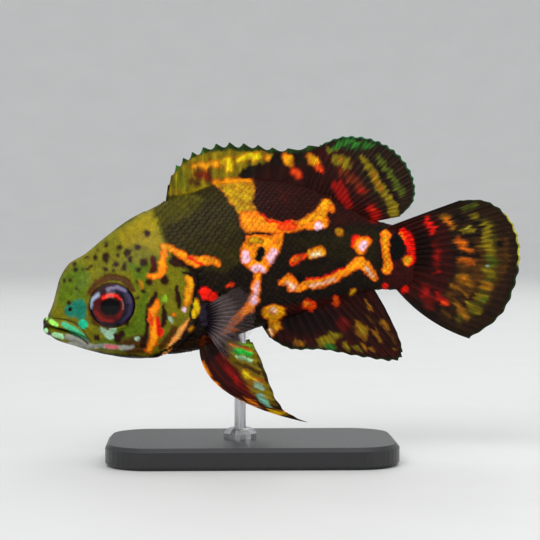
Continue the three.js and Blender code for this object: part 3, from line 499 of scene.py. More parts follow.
    ("pink", 0.5, [(68.1, 6.4, 0.6), (67.3, 5.8, 0.7)]),
    ("maroon", 1.4, [(52.9, 18.7, 0.8), (53.5, 17.8, 0.7)]),
    ("orange", 0.5, [(76.1, 7.2, 0.3), (76.7, 5.9, 0.2)]),
    ("orange_gold", 0.4, [(76.2, 1.3, 1.0), (76.9, 1.6, 0.7)]),
    ("yellow", 0.4, [(76.3, 1.4, 0.4)]),
    # Mouth line and lip edge, painted shade in the crease of the gape and in the groove over the upper
    # lip, and the front edge of the belly fins
    ("black", 0.45, [
        (0.6, 0.4, 0.2), (1.7, -0.2, 0.2), (3.7, -1.2, 0.2), (6.1, -2.5, 0.2), (7.8, -3.8, 0.2),
        (8.7, -5.0, 0.2),
    ]),
    # A thin dark line in the groove over the upper lip: painted shade.
    ("spot", 0.4, [(2.5, 1.3, 0.1), (4.6, 0.8, 0.1), (6.7, -0.3, 0.1), (8.3, -1.9, 0.1), (9.0, -4.0, 0.1)]),
    (
        "orange_gold", 0.35, [(30.7, -11.9, 0.5), (31.5, -13.8, 0.5), (32.3, -15.5, 0.5)],
        [(32.5, -16.2, 0.4), (33.1, -17.2, 0.5), (33.9, -18.3, 0.4)],
    ),
    ("ochre", 0.4, [(34.0, -18.5, 0.4), (35.4, -20.1, 0.4), (37.1, -21.1, 0.4)]),
    ("pink_cream", 0.3, [(37.9, -21.6, 0.3), (39.3, -22.5, 0.3), (40.4, -23.0, 0.3)]),
    ("orange_gold", 0.35, [(38.6, -21.1, 0.2), (40.2, -22.1, 0.3), (41.2, -23.1, 0.3)]),
    ("yellow", 0.35, [(43.5, -24.3, 0.4), (45.1, -25.0, 0.5), (46.1, -25.7, 0.3)]),
    ("cream", 0.35, [(45.9, -8.5, 0.5), (46.2, -9.5, 0.4)]),
]
MARKS = [(shade, edge, points) for shade, edge, *shapes in MARK_ROWS for points in shapes]


def grain(x, y, size, sort=0):
    """Smooth noise from -1 to 1, with lumps about size across; each sort has its own."""
    x = x / size + 17.3 * sort
    y = y / size - 9.1 * sort
    left, low = np.floor(x), np.floor(y)
    x, y = x - left, y - low
    x, y = x * x * (3 - 2 * x), y * y * (3 - 2 * y)

    def corner(a, b):
        # The far digits of a large sine are as good as chance.
        wave = np.sin(a * 127.1 + b * 311.7) * 43758.5453
        return (wave - np.floor(wave)) * 2 - 1

    below = corner(left, low) * (1 - x) + corner(left + 1, low) * x
    above = corner(left, low + 1) * (1 - x) + corner(left + 1, low + 1) * x
    return below * (1 - y) + above * y


def along_stretch(u, v, start, end):
    """How far along a straight stretch each place is, as a share of it, and its distance from it."""
    du, dv = end[0] - start[0], end[1] - start[1]
    share = np.clip(((u - start[0]) * du + (v - start[1]) * dv) / (du * du + dv * dv), 0, 1)
    return share, np.hypot(u - start[0] - share * du, v - start[1] - share * dv)


def line_reach(u, v, points):
    """How far outside a stroke of (u, v, radius) points each place is; less than 0 inside it."""
    reach = np.hypot(u - points[0][0], v - points[0][1]) - points[0][2]
    for start, end in zip(points, points[1:]):
        share, away = along_stretch(u, v, start, end)
        reach = np.minimum(reach, away - (start[2] + share * (end[2] - start[2])))
    return reach


def patch_reach(u, v, outline):
    """How far outside a closed outline each place is; less than 0 inside it."""
    closed = [(*point, 0.0) for point in [*outline, outline[0]]]
    reach = line_reach(u, v, closed)
    inside = np.zeros(u.shape, bool)
    for (u0, v0, _), (u1, v1, _) in zip(closed, closed[1:]):
        crosses = (v0 > v) != (v1 > v)
        inside ^= crosses & (u < u0 + (v - v0) * (u1 - u0) / (v1 - v0 + 1e-12))
    return np.where(inside, -reach, reach)


def soft_step(x):
    x = np.clip(x, 0, 1)
    return x * x * (3 - 2 * x)


# The marks' edges stray this far, in coarse and in fine lumps, and less on the lips than behind them.
STRAY_COARSE = 0.26
STRAY_FINE = 0.15
COARSE_LUMPS = 1.0
FINE_LUMPS = 0.4
LIPS_CALM = 0.3
LIPS_END = 8
LIPS_FADE = 3
SIDES_APART = 40
MOTTLE = 0.18


def stray(u, v, side, sort):
    """How far the marks' edges stray at each place, with a raggedness of its own for each side."""
    coarse = STRAY_COARSE * grain(u, v + SIDES_APART * side, COARSE_LUMPS, sort)
    return coarse + STRAY_FINE * grain(u, v, FINE_LUMPS, sort + 1)


def markings(u, v, side, marks, ground):
    """The colour of each place of the fish, marked from the ground colour up."""
    ragged = LIPS_CALM + (1 - LIPS_CALM) * soft_step((u - LIPS_END) / LIPS_FADE)
    ragged_u = u + ragged * stray(u, v, side, 1)
    ragged_v = v + ragged * stray(u, v, side, 3)
    colour = np.array(ground, float)
    for shade, edge, points in marks:
        spots = np.array([point[:2] for point in points])
        reach = edge + max((point[2] for point in points if len(point) > 2), default=0)
        low, high = spots.min(axis=0) - reach, spots.max(axis=0) + reach
        near = (ragged_u > low[0]) & (ragged_u < high[0]) & (ragged_v > low[1]) & (ragged_v < high[1])
        if not near.any():
            continue
        shape = line_reach if len(points[0]) == 3 else patch_reach
        outside = shape(ragged_u[near], ragged_v[near], points)
        cover = soft_step(0.5 - outside / edge)[:, None]
        tone = linear(SHADES[shade])
        if shade in GLOWING:
            rim = soft_step(1 + outside / RIM_WIDTH)[:, None]
            play = 1 + grain(u[near], v[near], 0.9, 13)[:, None] * np.array(GLOW_PLAY)
            tone = tone * (1 + (np.array(RIM_TINT) - 1) * rim) * play
        colour[near] += (tone - colour[near]) * cover
    mottle = 1 + MOTTLE * grain(u, v, 0.8, 11) + MOTTLE * grain(u, v, 0.33, 12)
    return colour * mottle[..., None]


# Skin
# One closed skin covers head, jaws, gill covers, trunk and tail stem. It is a loft of slanted rings,
# each row a ring's top (u, v), its bottom (u, v) and its half width, with the folds of the head on it.
BODY_RINGS = np.array([
    [-0.2, 0.1, -0.2, -0.1, 0.1],
    [0.3, 1.3, -0.1, -1.4, 2.1],
    [1.4, 2.3, 0.8, -2.5, 3.3],
    [2.6, 4.3, 2.6, -3.8, 4.2],
    [3.7, 6.8, 5.0, -5.0, 4.9],
    [4.9, 9.3, 7.8, -6.4, 5.6],
    [7.2, 11.8, 10.8, -7.7, 6.2],
    [10.8, 13.3, 14.0, -8.8, 6.8],
    [15.2, 15.9, 17.5, -9.6, 7.3],
    [20.5, 18.7, 21.5, -10.1, 7.8],
    [26.0, 20.6, 26.0, -10.3, 8.1],
    [32.0, 22.5, 31.0, -10.2, 8.2],
    [38.0, 23.6, 36.5, -9.3, 8.0],
    [44.0, 23.9, 42.5, -7.8, 7.5],
    [50.0, 23.1, 49.5, -6.8, 6.7],
    [56.0, 21.1, 56.0, -5.6, 5.6],
    [62.0, 17.9, 62.0, -4.5, 4.5],
    [67.0, 14.1, 66.5, -3.9, 3.6],
    [71.0, 11.0, 70.0, -3.9, 2.9],
    [74.5, 9.4, 73.5, -4.5, 2.3],
    [77.0, 8.2, 76.5, -4.3, 1.6],
    [78.6, 4.2, 78.4, 0.2, 0.7],
])
WIDEST_DROP = 0.12
BACK_PINCH = 1.2
BELLY_FULLNESS = 0.86
COAT_DEPTH = 0.2


def along(rows, share):
    """A smooth curve through the rows of a table, all columns at once, for share from 0 to 1."""
    last = len(rows) - 1
    place = np.clip(share, 0, 1) * last
    row = np.minimum(place.astype(int), last - 1)
    t = (place - row)[..., None]
    a, b, c, d = (rows[np.clip(row + step, 0, last)] for step in (-1, 0, 1, 2))
    curve = (c - a) * t + (2 * a - 5 * b + 4 * c - d) * t**2 + (3 * b - a - 3 * c + d) * t**3
    return b + 0.5 * curve


def body(share, angle):
    """Places on the smooth body: share runs nose to tail, angle from the back round the left side."""
    top_u, top_v, bottom_u, bottom_v, half_width = np.moveaxis(along(BODY_RINGS, share), -1, 0)
    up, out = np.cos(angle), np.sin(angle)
    out = np.sign(out) * np.abs(out) ** np.where(up > 0, BACK_PINCH, BELLY_FULLNESS)
    height = up - WIDEST_DROP * (1 - up * up)
    u = (top_u + bottom_u) / 2 + (top_u - bottom_u) / 2 * height
    v = (top_v + bottom_v) / 2 + (top_v - bottom_v) / 2 * height
    return np.stack([u, -half_width * out, v], axis=-1)


def to_unit(ways):
    return ways / np.maximum(np.linalg.norm(ways, axis=-1, keepdims=True), 1e-9)


def body_outward(share, angle):
    """The way out of the body, square to it."""
    small = 2e-3
    forward = body(np.minimum(share + small, 1), angle) - body(np.maximum(share - small, 0), angle)
    around = body(share, angle + small) - body(share, angle - small)
    return to_unit(np.cross(around, forward))


GAPE = [(-1.0, 0.2), (0.4, -0.1), (2.2, -0.8), (4.2, -1.5), (6.1, -2.3), (8.1, -3.5), (9.2, -4.8)]
UPPER_LIP_TOP = [(-1.0, 2.1), (0.9, 1.7), (2.8, 1.1), (5.5, 0.3), (7.6, -0.9), (9.4, -2.6), (9.9, -4.2)]
LOWER_LIP_FOOT = [(-1.0, -2.2), (1.2, -2.6), (3.2, -3.3), (5.8, -4.2), (8.2, -5.3), (9.3, -5.6)]
NOSTRIL = (6.3, 2.6)
EYE_SPAN = (4.75, 4.5)
GILL_EDGE = [
    (27.5, 9.7), (29.8, 8.3), (31.7, 6.9), (32.7, 5.1), (32.6, 3.0), (31.5, 0.7), (31.6, -1.9),
    (31.4, -3.9), (30.0, -6.2), (27.6, -8.2), (24.9, -9.4), (20.0, -10.3), (14.0, -9.9),
]
PREOPERCLE = [
    (23.0, 8.6), (24.4, 6.4), (24.6, 4.5), (23.7, 1.5), (23.6, -1.6), (23.6, -4.8), (22.3, -7.7),
    (20.0, -9.2),
]
CHEEK_FOLDS = [
    [(9.6, -4.6), (12.5, -5.2), (16.0, -6.6), (19.5, -7.6)],
    [(10.4, -1.4), (12.2, -3.6), (15.4, -4.6), (18.6, -4.2)],
    [(11.2, -6.6), (16.0, -8.3), (21.0, -8.9)],
]
# The small openings of the sense canals over and under the eye and down the cheek.
HEAD_PORES = [
    (8.6, 5.8), (11.2, 9.2), (15.6, 8.6), (19.4, 7.6), (8.9, -1.9), (11.2, -3.6), (14.6, -4.2),
    (18.2, -3.2), (22.6, 2.6), (22.4, -2.0), (21.6, -5.8), (4.6, 4.6),
]

# Folds and grooves, as height, distance from their line and width, in millimetres. Those of the lips
# also say where they end and over how far they fade; those of the eye are in shares of its span.
LIP_FOLDS = [
    (GAPE, (0.5, 0.72, 0.55), 10.2, 1.6),
    (GAPE, (0.55, -0.75, 0.55), 10.2, 1.6),
    (GAPE, (-1.0, 0.0, 0.32), 10.2, 1.6),
    (UPPER_LIP_TOP, (-0.28, 0.0, 0.3), 10.6, 1.2),
    (LOWER_LIP_FOOT, (-0.24, 0.0, 0.32), 9.8, 1.2),
]
NOSTRIL_RIM = (0.16, 0.62, 0.22)
NOSTRIL_HOLE = (-0.6, 0.0, 0.34)
LID_RIM = (0.34, 1.06, 0.075)
LID_GROOVE = (-0.16, 1.3, 0.12)
GILL_COVER_EDGE = (0.34, 0.0, 1.3)
GILL_SLIT = (-0.42, 0.0, 0.8)
CHEEK_EDGE = (0.2, 0.0, 0.9)
CHEEK_GROOVE = (-0.22, 0.0, 0.5)
CHEEK_FOLD = (-0.12, 0.0, 0.3)
PORE = (-0.3, 0.0, 0.2)
SOCKET_DEPTH = 3.0
SOCKET_WALL = 0.12
THROAT_RIPPLE = 0.07
RIPPLE_TURNS = 5.2
HEAD_END = 40


def from_line(u, v, line):
    """Distance from a line, more than 0 on its left as it runs."""
    nearest = np.full(u.shape, np.inf)
    signed = np.zeros(u.shape)
    for start, end in zip(line, line[1:]):
        away = along_stretch(u, v, start, end)[1]
        left = np.sign((end[0] - start[0]) * (v - start[1]) - (end[1] - start[1]) * (u - start[0]))
        closer = away < nearest
        signed[closer] = (left * away)[closer]
        nearest = np.minimum(nearest, away)
    return signed


def fold(distance, height, middle, width):
    """A round fold along where the distance is middle, or a groove if its height is below 0."""
    return height * np.exp(-(((distance - middle) / width) ** 2))


def head_relief(u, v):
    """How far the head's folds stand out of the smooth body, in millimetres."""
    rise = np.zeros(u.shape)
    head = u < HEAD_END
    u, v = u[head], v[head]
    relief = np.zeros(u.shape)
    for line, shape, end, fade in LIP_FOLDS:
        relief += soft_step((end - u) / fade) * fold(from_line(u, v, line), *shape)
    nostril = np.hypot(u - NOSTRIL[0], v - NOSTRIL[1])
    relief += fold(nostril, *NOSTRIL_RIM) + fold(nostril, *NOSTRIL_HOLE)
    eye = np.hypot((u - EYE_MIDDLE[0]) / EYE_SPAN[0], (v - EYE_MIDDLE[2]) / EYE_SPAN[1])
    relief += fold(eye, *LID_RIM) + fold(eye, *LID_GROOVE)
    relief -= SOCKET_DEPTH * soft_step((1.0 - eye) / SOCKET_WALL)
    gill = from_line(u, v, GILL_EDGE)
    relief += np.where(gill < 0, fold(gill, *GILL_COVER_EDGE), fold(gill, *GILL_SLIT))
    cheek = from_line(u, v, PREOPERCLE)
    relief += np.where(cheek < 0, fold(cheek, *CHEEK_EDGE), fold(cheek, *CHEEK_GROOVE))
    for pore_u, pore_v in HEAD_PORES:
        relief += fold(np.hypot(u - pore_u, v - pore_v), *PORE)
    for line in CHEEK_FOLDS:
        relief += fold(from_line(u, v, line), *CHEEK_FOLD)
    throat = soft_step((-5.5 - v) / 2.5) * soft_step((30 - u) / 6) * soft_step((u - 9) / 3)
    relief += THROAT_RIPPLE * throat * np.sin((v + 0.18 * u) * RIPPLE_TURNS)
    rise[head] = relief * soft_step((u + 0.4) / 1.6)
    return rise


HEAD_BACK = [
    (-11.0, 20.6), (-9.8, 24.6), (-8.0, 28.4), (-5.3, 31.0), (-2.4, 32.0), (0.8, 32.1), (4.0, 32.9),
    (6.6, 32.2), (8.8, 29.8), (11.4, 26.6), (17.0, 24.6), (26.0, 23.2),
]


def behind_head(u, v):
    """How far behind the head's rear edge a place is."""
    return u - np.interp(v, [point[0] for point in HEAD_BACK], [point[1] for point in HEAD_BACK])


SKIN_RINGS = 430
SKIN_SIDES = 228
HEAD_SHARE = 0.6
HEAD_ROWS = 11.3


def ring_share(even):
    """Rings stand closer on the head, where the folds are: its share of the rings is over its length."""
    return np.interp(even, [0.0, HEAD_SHARE, 1.0], [0.0, HEAD_ROWS / (len(BODY_RINGS) - 1), 1.0])


SIDE_CLOSENESS = 0.07


def side_angle(even):
    """The turn round the body, with the points closer together on its flanks."""
    return 2 * math.pi * even + SIDE_CLOSENESS * math.pi * np.sin(4 * math.pi * even)


def new_piece(name, work):
    mesh = bpy.data.meshes.new(name)
    work.to_mesh(mesh)
    work.free()
    piece = bpy.data.objects.new(name, mesh)
    bpy.context.scene.collection.objects.link(piece)
    return piece


def places(mesh):
    co = np.empty(len(mesh.vertices) * 3, np.float32)
    mesh.vertices.foreach_get("co", co)
    return co.reshape(-1, 3).astype(float)


def place_points(mesh, points):
    mesh.vertices.foreach_set("co", points.astype(np.float32).ravel())
    mesh.update()


def mend(mesh, seam=0.0):
    """Merges the points of a seam, turns every face outwards and shades the surface smooth."""
    work = bmesh.new()
    work.from_mesh(mesh)
    if seam:
        bmesh.ops.remove_doubles(work, verts=work.verts[:], dist=seam)
    bmesh.ops.recalc_face_normals(work, faces=work.faces[:])
    for face in work.faces:
        face.smooth = True
    work.to_mesh(mesh)
    work.free()


def give_colour(mesh, colour):
    layer = mesh.color_attributes.new("markings", "FLOAT_COLOR", "POINT")
    layer.data.foreach_set("color", np.c_[colour, np.ones(len(colour))].astype(np.float32).ravel())


def give_number(mesh, values, name):
    layer = mesh.attributes.new(name, "FLOAT", "POINT")
    layer.data.foreach_set("value", values.astype(np.float32))


def give_bake_map(mesh, flat):
    """The unwrap that the colours are baked on; flat holds a place for each point."""
    corners = np.empty(len(mesh.loops), np.int32)
    mesh.loops.foreach_get("vertex_index", corners)
    layer = mesh.uv_layers.new(name="OFBake")
    layer.uv.foreach_set("vector", flat[corners].astype(np.float32).ravel())


def ground_colour(u, v):
    """The dark brown that the markings lie on, with a fine and a coarse speckle."""
    base = np.ones(u.shape)[:, None] * linear(SHADES["ground"])
    speckle = 1 + 0.35 * grain(u, v, 0.7, 5) + 0.25 * grain(u, v, 2.4, 6)
    return base * speckle[:, None]


# How deep the skin lies under the smooth body on the head, and where the scales' deeper bed starts.
HEAD_SINK = 0.04
BED_START = -0.2
BED_FADE = 0.8
# The first ring closes up in the mouth and the last one at a point inside the tail fin.
END_SHARE = 1e-6
TAIL_POINT = [78.7, 0.0, 2.2]

work = bmesh.new()
bmesh.ops.create_grid(work, x_segments=SKIN_RINGS, y_segments=SKIN_SIDES, size=0.5)
skin = new_piece("skin", work)
flat = places(skin.data)[:, :2] + 0.5
share, angle = ring_share(flat[:, 0]), side_angle(flat[:, 1])
smooth = body(share, angle)
outward = body_outward(share, angle)
scaled = soft_step((behind_head(smooth[:, 0], smooth[:, 2]) - BED_START) / BED_FADE)
rise = head_relief(smooth[:, 0], smooth[:, 2]) - HEAD_SINK - (COAT_DEPTH - HEAD_SINK) * scaled
side_sign = np.sign(smooth[:, 1])
skin_points = smooth + outward * rise[:, None]
skin_points[share < END_SHARE] = body(np.array([0.0]), np.array([math.pi / 2]))[0] * [1, 0, 1]
skin_points[share > 1 - END_SHARE] = TAIL_POINT
place_points(skin.data, in_row(skin_points))
give_bake_map(skin.data, flat)
u, v = skin_points[:, 0], skin_points[:, 2]
give_colour(skin.data, markings(u, v, side_sign, MARKS, ground_colour(u, v)))
mend(skin.data, seam=2e-6)


class Value:
    """A socket that takes part in sums, so that shader maths reads as it is written."""

    def __init__(self, tree, socket):
        self.tree = tree
        self.socket = socket

    def maths(self, operation, *others):
        node = self.tree.nodes.new("ShaderNodeMath")
        node.operation = operation
        for place, value in zip(node.inputs, (self, *others)):
            feed(self.tree, place, value)
        return Value(self.tree, node.outputs[0])

    def __add__(self, other):
        return self.maths("ADD", other)

    __radd__ = __add__

    def __mul__(self, other):
        return self.maths("MULTIPLY", other)

    __rmul__ = __mul__

    def __sub__(self, other):
        return self.maths("SUBTRACT", other)

    def __rsub__(self, other):
        return self.maths("MULTIPLY", -1.0).maths("ADD", other)


def feed(tree, place, value):
    if isinstance(value, Value):
        tree.links.new(value.socket, place)
    else:
        place.default_value = value


def per_metre(size):
    """A pattern's scale for lumps of this size, in millimetres."""
    return 1 / (size * MM)


class Material:
    """A material with one shader, and short ways to make its other nodes."""

    def __init__(self, name, **shader):
        self.material = bpy.data.materials.new(name)
        self.material.use_nodes = True
        self.tree = self.material.node_tree
        self.shader = self.tree.nodes["Principled BSDF"]
        for place, value in shader.items():
            self.shader.inputs[place.replace("_", " ")].default_value = value

    def node(self, kind, settings=None, out=0, **inputs):
        node = self.tree.nodes.new("ShaderNode" + kind)
        for name, value in (settings or {}).items():
            setattr(node, name, value)
        for name, value in inputs.items():
            feed(self.tree, node.inputs[name.replace("_", " ")], value)
        return Value(self.tree, node.outputs[out])

    def mix(self, factor, a, b, blend="MIX"):
        node = self.tree.nodes.new("ShaderNodeMix")
        node.data_type = "RGBA"
        node.blend_type = blend
        for index, value in ((0, factor), (6, a), (7, b)):
            feed(self.tree, node.inputs[index], value)
        return Value(self.tree, node.outputs[2])

    def place(self):
        """The shaded point's place in the piece's own frame."""
        return self.node("TexCoord", out=3)

    def noise(self, place, size, detail):
        return self.node("TexNoise", Vector=place, Scale=per_metre(size), Detail=detail)

    def painted(self, light):
        """The markings, made lighter or darker by a pattern."""
        paint = self.node("VertexColor", {"layer_name": "markings"})
        tone = self.node("CombineColor", Red=light, Green=light, Blue=light)
        return self.mix(1.0, paint, tone, "MULTIPLY")

    def set(self, **inputs):
        for name, value in inputs.items():
            feed(self.tree, self.shader.inputs[name.replace("_", " ")], value)
        return self.material


def skin_material(name, coat, pore_size, pore_depth):
    """Wet skin: the markings with a fine speckle, a thin clear gloss and a pore bump."""
    made = Material(name, Coat_Roughness=0.2, Coat_Weight=coat, IOR=1.36, Specular_IOR_Level=0.14)
    place = made.place()
    speckle = made.noise(place, 0.35, 3.0)
    blotch = made.noise(place, 1.6, 2.0)
    paint = made.painted(speckle * 0.9 + blotch * 0.5 + 0.3)
    pores = made.node("TexVoronoi", {"feature": "SMOOTH_F1"}, Vector=place, Scale=per_metre(pore_size))
    height = pores * 0.8 + speckle * 0.5
    bump = made.node("Bump", Height=height, Strength=0.5, Distance=pore_depth * MM)
    return made.set(Base_Color=paint, Roughness=blotch * 0.25 + 0.35, Normal=bump)


skin.data.materials.append(skin_material("oscar_skin", 0.05, 0.28, 0.12))
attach(skin, "root")
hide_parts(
    "head", "upper_jaw", "lower_jaw", "gill_cover_left", "gill_cover_right",
    "trunk_front", "trunk_rear", "tail_stem",
)


# Scales
# Thin horny plates in rows that run from the gill opening to the tail. Each is rooted in the skin in
# front and overlaps the next ones behind. The rows are spaced out from the middle of the side.
SCALE_PITCH = 1.34
# The pitch is longer in front and shorter behind, by these shares at these places along the fish.
PITCH_PLACES = [25, 40, 60, 78]
PITCH_SHARES = [1.25, 1.0, 0.94, 0.72]
ROW_PITCH = 1.42
ROWS_EACH_WAY = 26
MIDDLE_ROW = 0.52 * math.pi
HEAD_GAP = 0.1
RIDGE_GAP = 0.25
LAST_SCALE = 77.6
SCALE_LENGTH = 1.66
SCALE_WIDTH = 1.24
SCALE_THICK = 0.06
ROOT_SINK = 0.1
TIP_LIFT = 0.12
SCALE_DOME = 0.05
SCALE_SEGMENTS = (5, 4)
# A scale's sides run straight to the first share of its length and round off over the second.
ROUND_START = 0.25
ROUND_OVER = 0.78
ROUND_POWER = 2.4
TIP_WIDTH = 0.03
# Chance gives each scale a lean, a lift and a tone; its root is darker, as painted shade where the
# scales in front cover it, and its free edge is darker too.
LEAN_SPREAD = 0.05
LIFT_SPREAD = 0.18
TONE_SPREAD = 0.13
ROOT_SHADE = 0.12
EDGE_SHADE = 0.16
BAKE_PATCH = 0.003
BAKE_MARGIN = 0.01

SAMPLES = 1200
ANGLES = 400
END_GAP = 0.01
share_line = np.linspace(0, 1, SAMPLES)
side_line = body(share_line, np.full(SAMPLES, math.pi / 2 + 0.1))
pitch_line = np.interp(side_line[:, 0], PITCH_PLACES, PITCH_SHARES) * SCALE_PITCH
length_step = np.linalg.norm(np.diff(side_line, axis=0), axis=1) / pitch_line[1:]
column_line = np.concatenate([[0], np.cumsum(length_step)])
angle_line = np.linspace(END_GAP, math.pi - END_GAP, ANGLES)

scale_roots = []
for column in range(int(column_line[-1])):
    for row in range(-ROWS_EACH_WAY, ROWS_EACH_WAY + 1):
        shift = 0.5 if row % 2 else 0.0
        root_share = np.interp(column + shift, column_line, share_line)
        ring = body(np.full(ANGLES, root_share), angle_line)
        reach = np.concatenate([[0], np.cumsum(np.linalg.norm(np.diff(ring, axis=0), axis=1))])
        size = np.interp(root_share, share_line, pitch_line) / SCALE_PITCH
        place = np.interp(MIDDLE_ROW, angle_line, reach) - row * size * ROW_PITCH / 2
        if not RIDGE_GAP < place < reach[-1] - RIDGE_GAP:
            continue
        root_angle = np.interp(place, reach, angle_line)
        u, _, v = body(np.array([root_share]), np.array([root_angle]))[0]
        if behind_head(u, v) > HEAD_GAP and u < LAST_SCALE:
            scale_roots.append((root_share, root_angle, size))


def sheet_grid(columns, rows):
    """A flat closed sheet: a grid at height 0 and its copy at height 1, joined all round."""
    work = bmesh.new()
    bmesh.ops.create_grid(work, x_segments=columns, y_segments=rows, size=0.5)
    bmesh.ops.extrude_face_region(work, geom=work.faces[:], use_keep_orig=True)
    work.verts.ensure_lookup_table()
    for vertex in work.verts[len(work.verts) // 2:]:
        vertex.co.z = 1.0
    return work


work = sheet_grid(*SCALE_SEGMENTS)
bmesh.ops.recalc_face_normals(work, faces=work.faces[:])
plate = np.array([vertex.co[:] for vertex in work.verts])
plate_faces = np.array([[vertex.index for vertex in face.verts] for face in work.faces])
work.free()

count = len(scale_roots)
root_share, root_angle, size = (column[:, None] for column in np.array(scale_roots).T)
length_part, width_part = plate[:, 0] + 0.5, plate[:, 1] * 2
taper = np.clip((length_part - ROUND_START) / ROUND_OVER, 0, 1) ** ROUND_POWER
rounding = np.sqrt(np.clip(1 - taper, TIP_WIDTH, 1))
lead = (length_part * SCALE_LENGTH)[None] * size
small = 1e-3
ahead = body(root_share + small, root_angle) - body(root_share - small, root_angle)
beside = body(root_share, root_angle + small) - body(root_share, root_angle - small)
per_share = np.linalg.norm(ahead, axis=-1) / (2 * small)
per_angle = np.linalg.norm(beside, axis=-1) / (2 * small)
even = np.linspace(0, 1, 99)
root_flat = np.c_[np.interp(root_share[:, 0], ring_share(even), even), root_angle[:, 0] / math.pi]
luck = np.random.default_rng(7)
scale_finish = skin_material("oscar_scale", 0.03, 0.16, 0.05)

for side, name in ((1, "left"), (-1, "right")):
    lean = luck.normal(0, LEAN_SPREAD, (count, 1))
    lift = 1 + luck.normal(0, LIFT_SPREAD, (count, 1))
    aside = (width_part * rounding * SCALE_WIDTH / 2)[None] * size + lean * lead
    s = np.clip(root_share + lead / per_share, 0, 1)
    a = side * (root_angle + aside / per_angle)
    rise = (-ROOT_SINK + (ROOT_SINK + TIP_LIFT) * length_part)[None] * lift * np.minimum(size, 1)
    rise = rise + SCALE_DOME * (1 - width_part**2)[None] - COAT_DEPTH
    rise = rise - SCALE_THICK * plate[:, 2][None]
    points = body(s, a) + body_outward(s, a) * rise[..., None]
    mesh = bpy.data.meshes.new(f"scales_{name}")
    steps = np.arange(count)[:, None, None] * len(plate)
    faces = (plate_faces[None] + steps).reshape(-1, 4)
    mesh.from_pydata(in_row(points).reshape(-1, 3), [], faces.tolist())
    scales = bpy.data.objects.new(f"scales_{name}", mesh)
    bpy.context.scene.collection.objects.link(scales)
    u, v = points[..., 0].ravel(), points[..., 2].ravel()
    paint = markings(u, v, np.full(u.shape, -float(side)), MARKS, ground_colour(u, v))
    # The darker root is painted shade under the overlapping scales in front.
    tone = 1 + luck.normal(0, TONE_SPREAD, (count, 1)) - ROOT_SHADE * (length_part[None] < 0.4)
    tone = tone - EDGE_SHADE * (length_part[None] > 0.9)
    give_colour(mesh, paint * np.clip(tone, 0.4, 1.5).reshape(-1, 1))
    patch = root_flat[:, None, :] * (1 - 2 * BAKE_MARGIN) + BAKE_MARGIN + plate[None, :, :2] * BAKE_PATCH
    give_bake_map(mesh, patch.reshape(-1, 2))
    mend(mesh)
    mesh.materials.append(scale_finish)
    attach(scales, "root")


# Eyes
# A ball with a red iris and a dark, forward-turned pupil, wet and clear in front. The white of the
# eye is purple black, and shows most behind the iris. A sheen on the violet, the upper lid's shadow
# and two highlights are painted on the ball.
EYE_RADIUS = 4.9
EYE_HALF_DEPTH = 2.7
EYE_WAY = (-0.16, -1.0, 0.04)
EYE_WHITE = (22, 14, 30)
EYE_STRAY = 0.1
EYE_LUMPS = 0.5
# The clear front bulges this far, and less and less out to where this share of the radius squared is.
BULGE = 0.25
BULGE_SPAN = 0.55
# Shade, edge, strength and strokes of (u, v, radius) from the middle of the eye, in millimetres.
EYE_MARKS = [
    # A lighter violet round the right side: painted sheen on the purple black white of the eye.
    ((70, 58, 104), 0.9, 0.6, [
        (2.9, 2.7, 0.2), (3.8, 1.0, 0.35), (3.8, -0.6, 0.35), (3.0, -2.4, 0.3), (1.3, -3.8, 0.2),
    ]),
    # A dark brown band over the top of the ball: the upper lid's brown and its shadow, painted on.
    ((50, 24, 16), 1.0, 0.9, [(-3.6, 3.2, 0.8), (-1.0, 4.4, 0.9), (2.0, 4.3, 0.8)]),
    ((66, 52, 12), 0.8, 0.9, [(-3.3, -3.6, 0.35), (-1.6, -4.6, 0.5), (0.4, -4.9, 0.6),
    (2.4, -4.3, 0.45)]), ((74, 8, 7), 0.5, 1.0, [(-0.85, -0.25, 3.15)]), ((136, 22, 12),
    0.7, 0.9, [(-3.5, -0.8, 0.3), (-2.5, -2.5, 0.4), (-0.4, -3.1, 0.3)]), ((120, 18, 12),
    0.8, 0.8, [(0.9, -2.3, 0.3), (1.9, -1.0, 0.2)]), ((3, 1, 1), 0.6, 1.0, [(-0.75, -0.1, 1.7),
    (0.1, -0.2, 1.7)]), ((236, 38, 14), 0.5, 1.0, [(-1.5, 1.9, 0.35), (0.0, 2.2, 0.35),
    (1.3, 1.9, 0.25), (2.0, 1.0, 0.12)]), ((200, 130, 120), 0.3, 0.7, [(2.15, 1.1, 0.05),
    # The white blue strokes at the upper left and the lilac ones along the top, at the end of this list,
    # are painted highlights.
    (2.3, 0.0, 0.08), (2.0, -1.1, 0.05)]), ((190, 204, 232), 0.8, 0.75, [(-4.4, 0.2, 0.15),
    (-3.9, 1.8, 0.3), (-2.5, 2.6, 0.35)]), ((150, 140, 176), 0.8, 0.7, [(-0.4, 3.4, 0.25),
    (1.6, 3.6, 0.25), (3.1, 2.6, 0.2)]),
]

out_way = to_unit(np.array(EYE_WAY))
fore = to_unit(np.cross(out_way, [0, 0, 1.0]))
top = np.cross(fore, out_way)
made = Material(
    "oscar_eye", Coat_Weight=0.6, Coat_IOR=1.34, Coat_Roughness=0.02, Specular_IOR_Level=0.0, Roughness=0.5,
)
fibres = made.noise(made.place(), 0.25, 4.0)
eye_finish = made.set(Base_Color=made.painted(fibres * 0.8 + 0.6))

